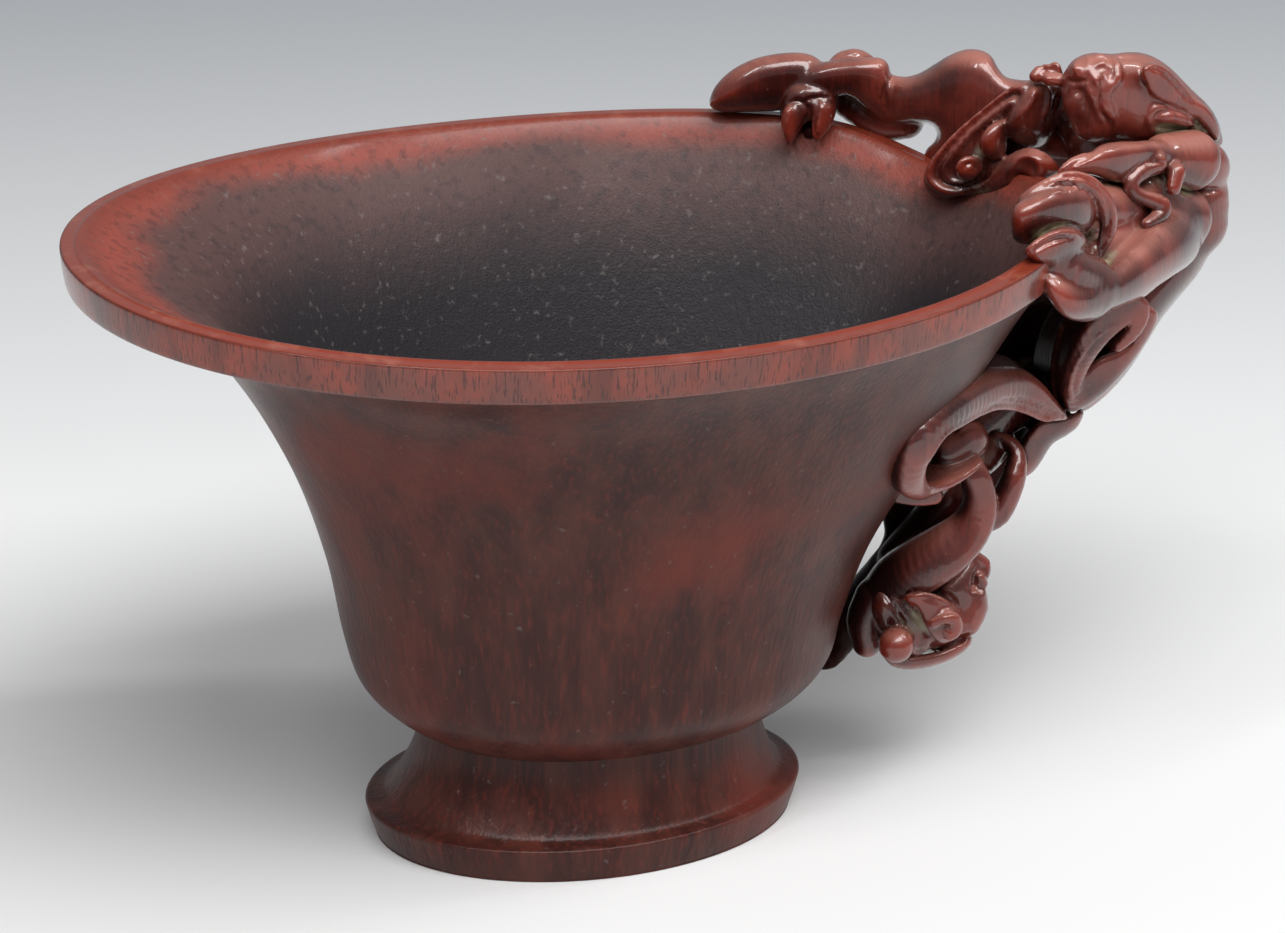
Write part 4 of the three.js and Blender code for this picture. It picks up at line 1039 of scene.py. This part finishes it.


# Where painted shade darkens the openwork, standing for the shadow in its openings
openwork = {
    "pieces": ("tail_curls", "far_curls", "climbing_dragon"),
    "near": 7, "nearHigh": 13, "far": 15, "fade": 4,   # mm to each side of the middle
    "high": 50,         # above this height the near curls stand further out
    "turned": 0.35,     # a face turned this much to the cup begins to be dark
    "contrast": 2.2,
}


def facing(points, faces):
    # Which way each point of a skin looks
    normals = np.cross(points[faces[:, 2]] - points[faces[:, 0]], points[faces[:, 3]] - points[faces[:, 1]])
    total = [np.bincount(faces.ravel(), np.repeat(normals[:, k], 4), len(points)) for k in range(3)]
    total = np.stack(total, 1)
    return total / np.maximum(np.linalg.norm(total, axis=1), 1e-9)[:, None]


def openworkShadeShare(points, normals):
    # 1 where shade is painted on the horn between the two sides of the openwork and on faces turned to the
    # cup, 0 on its outer faces
    rise = np.clip((points[:, 2] - openwork["high"]) / openwork["fade"], 0, 1)
    near = openwork["near"] + (openwork["nearHigh"] - openwork["near"]) * rise
    inside = np.minimum(points[:, 1] + near, openwork["far"] - points[:, 1]) / openwork["fade"]
    towardsCup = (-normals[:, 0] - openwork["turned"]) * openwork["contrast"]
    return np.clip(np.maximum(inside, towardsCup), 0, 1)


def settle(points, faces, passes=4):
    # Evens out the cell pattern on the skin
    edges = np.vstack([faces[:, [k, (k + 1) % 4]] for k in range(4)])
    count = np.bincount(edges[:, 0], minlength=len(points))[:, None]
    for weight in (0.5, -0.52) * passes:
        total = [np.bincount(edges[:, 0], points[edges[:, 1], k], len(points)) for k in range(3)]
        points = points + weight * (np.stack(total, 1) / np.maximum(count, 1) - points)
    return points


# Finishes
def nodeTools(material):
    tree = material.node_tree
    tree.nodes.clear()

    def add(kind, **settings):
        node = tree.nodes.new(kind)
        for key, value in settings.items():
            if hasattr(node, key):
                setattr(node, key, value)
            else:
                node.inputs[key].default_value = value
        return node

    def feed(node, socket, source):
        if hasattr(source, "outputs"):
            source = source.outputs[0]
        if isinstance(source, bpy.types.NodeSocket):
            tree.links.new(source, node.inputs[socket])
        else:
            node.inputs[socket].default_value = source

    def sums(kind, a, b):
        node = add("ShaderNodeMath", operation=kind)
        feed(node, 0, a)
        feed(node, 1, b)
        return node

    def grain(where, scale, detail=4, stretch=(1, 1, 1)):
        squeeze = add("ShaderNodeMapping")
        squeeze.inputs["Scale"].default_value = stretch
        feed(squeeze, "Vector", where)
        noise = add("ShaderNodeTexNoise")
        feed(noise, "Vector", squeeze)
        noise.inputs["Scale"].default_value = scale
        noise.inputs["Detail"].default_value = detail
        noise.inputs["Roughness"].default_value = 0.55
        return noise

    def between(value, low, high, start=0.0, end=1.0):
        node = add("ShaderNodeMapRange", interpolation_type="SMOOTHSTEP")
        feed(node, "Value", value)
        for key, number in (("From Min", low), ("From Max", high), ("To Min", start), ("To Max", end)):
            node.inputs[key].default_value = number
        return node

    def mix(share, a, b):
        node = add("ShaderNodeMixRGB", blend_type="MIX")
        feed(node, "Fac", share)
        feed(node, "Color1", a)
        feed(node, "Color2", b)
        return node

    def zone(name):
        return add("ShaderNodeAttribute", attribute_name=name).outputs["Fac"]
    return add, feed, sums, grain, between, mix, zone


def shaderFor(material, add, feed, look):
    out = add("ShaderNodeOutputMaterial")
    shader = add("ShaderNodeBsdfPrincipled")
    feed(out, "Surface", shader)
    shader.inputs["IOR"].default_value = 1.54
    shader.inputs["Specular IOR Level"].default_value = look["shine"]
    return shader


bowlLook = {
    "wall": (0.078, 0.024, 0.017, 1), "wallRed": (0.155, 0.026, 0.016, 1),
    "wallDark": (0.036, 0.011, 0.009, 1), "band": (0.15, 0.038, 0.027, 1),
    "bandDark": (0.045, 0.010, 0.008, 1), "lip": (0.25, 0.040, 0.020, 1), "lipPale": (0.38, 0.12, 0.075, 1),
    "innerRed": (0.30, 0.065, 0.045, 1), "innerBrown": (0.105, 0.055, 0.05, 1),
    "innerDark": (0.024, 0.021, 0.024, 1), "innerPale": (0.19, 0.16, 0.155, 1),
    "roughness": 0.34, "shine": 0.20, "rimPolish": 0.8, "rimRoughness": 0.14,
    # How fine each pattern is across the three axes, or all round
    "fibres": (1500, 1500, 60), "streaks": (190, 190, 14), "scratches": (3600, 3600, 200),
    "clouds": 42, "specks": 900, "mottles": 110, "spots": 620, "lipSpots": 260, "pores": 3200,
    "redEnd": (-0.11, -0.05),   # the spout's end of the well stays red, in metres along the cup
    "fibreDepth": 0.0003, "poreDepth": 0.0002,   # metres
}


def bowlFinish():
    material = bpy.data.materials.new("polished_bowl_horn")
    material.use_nodes = True
    add, feed, sums, grain, between, mix, zone = nodeTools(material)
    look = bowlLook
    shader = shaderFor(material, add, feed, look)
    where = add("ShaderNodeTexCoord").outputs["Object"]
    fibres = grain(where, 1, 4, look["fibres"])
    streaks = grain(where, 1, 3, look["streaks"])
    clouds = grain(where, look["clouds"], 5)
    specks = grain(where, look["specks"], 2)

    wall = mix(between(streaks, 0.35, 0.68), look["wallDark"], look["wall"])
    wall = mix(between(clouds, 0.48, 0.75, 0, 0.8), wall, look["wallRed"])
    wall = mix(between(fibres, 0.45, 0.8, 0, 0.5), wall, look["wallRed"])
    wall = mix(between(specks, 0.66, 0.8, 0, 0.35), wall, look["innerPale"])
    scratches = between(grain(where, 1, 2, look["scratches"]), 0.54, 0.64)
    band = mix(between(grain(where, look["mottles"], 4), 0.35, 0.65), look["band"], look["lip"])
    band = mix(between(streaks, 0.3, 0.5, 0.6, 0), band, look["bandDark"])
    band = mix(sums("MULTIPLY", scratches, 0.8), band, look["bandDark"])
    outer = mix(zone("band"), wall, band)

    across = add("ShaderNodeSeparateXYZ")
    feed(across, "Vector", where)
    wave = sums("ADD", zone("below"), between(clouds, 0.3, 0.7, -0.15, 0.15))
    wave = sums("ADD", wave, between(across.outputs["X"], *look["redEnd"], -0.6, 0))
    inner = mix(between(wave, 0.02, 0.42), look["innerRed"], look["innerBrown"])
    inner = mix(between(wave, 0.3, 1.9), inner, look["innerDark"])
    inner = mix(between(specks, 0.6, 0.78, 0, 0.5), inner, look["innerPale"])
    inner = mix(between(grain(where, look["spots"], 3), 0.35, 0.5, 0.35, 0), inner, look["innerDark"])
    body = mix(zone("inner"), outer, inner)
    lip = mix(between(grain(where, look["lipSpots"], 3), 0.5, 0.75, 0, 0.6), look["lip"], look["lipPale"])
    body = mix(zone("lip"), body, lip)
    feed(shader, "Base Color", body)

    rough = between(clouds, 0.3, 0.75, look["roughness"] - 0.06, look["roughness"] + 0.12)
    rough = sums("ADD", rough, between(zone("inner"), 0, 1, 0, 0.14))
    rough = sums("ADD", rough, between(zone("lip"), 0, 1, 0, -0.14))
    feed(shader, "Roughness", rough)
    rim = sums("MAXIMUM", zone("lip"), zone("band"))
    feed(shader, "Coat Weight", sums("MULTIPLY", rim, look["rimPolish"]))
    shader.inputs["Coat Roughness"].default_value = look["rimRoughness"]
    coarse = add("ShaderNodeBump", Strength=0.35, Distance=look["fibreDepth"])
    feed(coarse, "Height", fibres)
    fine = add("ShaderNodeBump", Strength=0.4, Distance=look["poreDepth"])
    feed(fine, "Height", sums("MULTIPLY", grain(where, look["pores"], 3), zone("inner")))
    feed(fine, "Normal", coarse)
    feed(shader, "Normal", fine)
    return material


carvedLook = {
    "deep": (0.048, 0.008, 0.006, 1), "body": (0.185, 0.029, 0.018, 1), "ridge": (0.26, 0.028, 0.012, 1),
    "pale": (0.36, 0.17, 0.135, 1), "paintedSheen": (0.43, 0.165, 0.125, 1), "shadow": (0.010, 0.004, 0.004, 1),
    "wax": (0.27, 0.22, 0.14, 1),
    "roughness": 0.32, "shine": 0.4, "polish": 0.8, "polishRoughness": 0.07,
    "fibres": (1700, 1700, 120), "clouds": 95, "specks": 1100, "waxPatches": 170, "fibreDepth": 0.00025,
}


def carvedFinish():
    material = bpy.data.materials.new("waxed_carved_horn")
    material.use_nodes = True
    add, feed, sums, grain, between, mix, zone = nodeTools(material)
    look = carvedLook
    shader = shaderFor(material, add, feed, look)
    where = add("ShaderNodeTexCoord").outputs["Object"]
    fibres = grain(where, 1, 4, look["fibres"])
    clouds = grain(where, look["clouds"], 5)
    specks = grain(where, look["specks"], 2)
    shader.inputs["Coat Roughness"].default_value = look["polishRoughness"]
    hollow = zone("crevice")
    body = mix(between(clouds, 0.38, 0.66), look["deep"], look["body"])
    body = mix(between(fibres, 0.48, 0.78, 0, 0.3), body, look["ridge"])
    body = mix(between(fibres, 0.3, 0.45, 0.5, 0), body, look["deep"])
    # Ridges are painted redder, a painted glow of light through the thin horn at the edges
    body = mix(between(hollow, -0.12, -0.55, 0, 0.6), body, look["ridge"])
    # The faces that look up are painted paler, a painted sheen of the light from above
    split = add("ShaderNodeSeparateXYZ")
    feed(split, "Vector", add("ShaderNodeNewGeometry").outputs["Normal"])
    paintedSheen = sums("MULTIPLY", between(split.outputs["Z"], 0.25, 0.9), between(clouds, 0.3, 0.6, 0.25, 0.8))
    body = mix(paintedSheen, body, look["paintedSheen"])
    body = mix(between(hollow, 0.25, 0.62, 0, 0.9), body, look["shadow"])
    # Painted shade on the horn between the two sides of the openwork
    body = mix(sums("MULTIPLY", zone("hidden"), 0.93), body, look["shadow"])
    patches = between(grain(where, look["waxPatches"], 4), 0.5, 0.62)
    waxed = sums("MULTIPLY", between(hollow, 0.2, 0.42), patches)
    waxed = sums("MULTIPLY", waxed, between(hollow, 0.75, 0.5))
    body = mix(waxed, body, look["wax"])
    body = mix(between(specks, 0.68, 0.8, 0, 0.3), body, look["pale"])
    feed(shader, "Base Color", body)
    rough = between(clouds, 0.3, 0.75, look["roughness"] - 0.08, look["roughness"] + 0.1)
    rough = sums("ADD", rough, sums("MULTIPLY", waxed, 0.35))
    dull = sums("MAXIMUM", zone("hidden"), between(hollow, 0.3, 0.6))
    feed(shader, "Coat Weight", between(dull, 0, 0.7, look["polish"], 0))
    feed(shader, "Specular IOR Level", between(dull, 0, 0.8, look["shine"], 0.05))
    feed(shader, "Roughness", rough)
    relief = add("ShaderNodeBump", Strength=0.3, Distance=look["fibreDepth"])
    feed(relief, "Height", fibres)
    feed(shader, "Normal", relief)
    return material


# Behind the cup the paper is painted darker, a painted falloff of the light
stage = {
    "half": 3.0, "paper": (0.80, 0.80, 0.795, 1), "shadedFarPaper": (0.39, 0.405, 0.425, 1),
    "fadeFrom": 0.10, "fadeTo": 0.36,   # metres behind the cup
}


def makeStage():
    size = stage["half"]
    mesh = bpy.data.meshes.new("floor")
    corners = [(-size, -size, 0), (size, -size, 0), (size, size, 0), (-size, size, 0)]
    mesh.from_pydata(corners, [], [(0, 1, 2, 3)])
    floor = bpy.data.objects.new("floor", mesh)
    bpy.context.scene.collection.objects.link(floor)
    floor.location.z = -0.0001
    material = bpy.data.materials.new("backdrop_paper")
    material.use_nodes = True
    add, feed = nodeTools(material)[:2]
    out = add("ShaderNodeOutputMaterial")
    shader = add("ShaderNodeBsdfPrincipled")
    feed(out, "Surface", shader)
    turned = add("ShaderNodeMapping")
    turned.inputs["Rotation"].default_value = (0, 0, -turnBy)
    feed(turned, "Vector", add("ShaderNodeTexCoord").outputs["Object"])
    split = add("ShaderNodeSeparateXYZ")
    feed(split, "Vector", turned)
    # Painted falloff: the paper darkens with distance behind the cup
    fade = add("ShaderNodeMapRange")
    fade.inputs["From Min"].default_value = stage["fadeFrom"]
    fade.inputs["From Max"].default_value = stage["fadeTo"]
    feed(fade, "Value", split.outputs["Y"])
    ramp = add("ShaderNodeValToRGB")
    ramp.color_ramp.elements[0].color = stage["paper"]
    ramp.color_ramp.elements[1].color = stage["shadedFarPaper"]
    feed(ramp, "Fac", fade)
    feed(shader, "Base Color", ramp)
    shader.inputs["Roughness"].default_value = 0.9
    shader.inputs["Specular IOR Level"].default_value = 0.2
    mesh.materials.append(material)


lights = {   # place, size, watts
    "over": ((0.05, -0.66, 1.15), (1.2, 0.6), 17.5),
    "left": ((-0.75, -0.45, 1.0), (0.1, 0.5), 2.6),
    "right": ((0.85, -0.20, 1.0), (0.1, 0.5), 3.0),
}
room = {"glow": 0.30, "colour": (0.78, 0.80, 0.84, 1)}


def makeLights():
    world = bpy.data.worlds.new("room")
    world.use_nodes = True
    world.node_tree.nodes["Background"].inputs["Color"].default_value = room["colour"]
    world.node_tree.nodes["Background"].inputs["Strength"].default_value = room["glow"]
    bpy.context.scene.world = world
    for name, (spot, size, power) in lights.items():
        data = bpy.data.lights.new(name, "AREA")
        data.shape = "RECTANGLE"
        data.size, data.size_y = size
        data.energy = power
        lamp = bpy.data.objects.new(name, data)
        lamp.location = spot
        lamp.rotation_mode = "QUATERNION"
        lamp.rotation_quaternion = (Vector((0, 0, 0.05)) - Vector(spot)).to_track_quat("-Z", "Y")
        bpy.context.scene.collection.objects.link(lamp)


def place(piece, material, slotName, *nodes):
    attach(piece, "root")
    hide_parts(*nodes)
    piece.data.materials.append(material)


bpy.context.scene.view_settings.view_transform = "Standard"
makeCamera()
makeStage()
makeLights()
print("stage, camera and lights set")

bowlHorn = bowlFinish()
carvedHorn = carvedFinish()
bowl = makeBowl()
place(bowl, bowlHorn, "bowl_horn", "bowl")
base = makeFoot()
place(base, bowlHorn, "bowl_horn", "foot")
cupTree = treeOf(bowl)
print("bowl and foot made")

for name, work in carvings.items():
    carve(name, work)
share = crevices()
print("crevices found")
for name, work in carvings.items():
    points, faces = skinOf(blocks[name])
    points = settle(points, faces)
    piece = meshPiece(name, points, faces)
    paintValues(piece, "crevice", 2 * sample(share, points) - 1)
    if name in openwork["pieces"]:
        paintValues(piece, "hidden", openworkShadeShare(points, facing(points, faces)))
    place(piece, carvedHorn, "carved_horn", *work["replaces"])
print("carvings skinned")
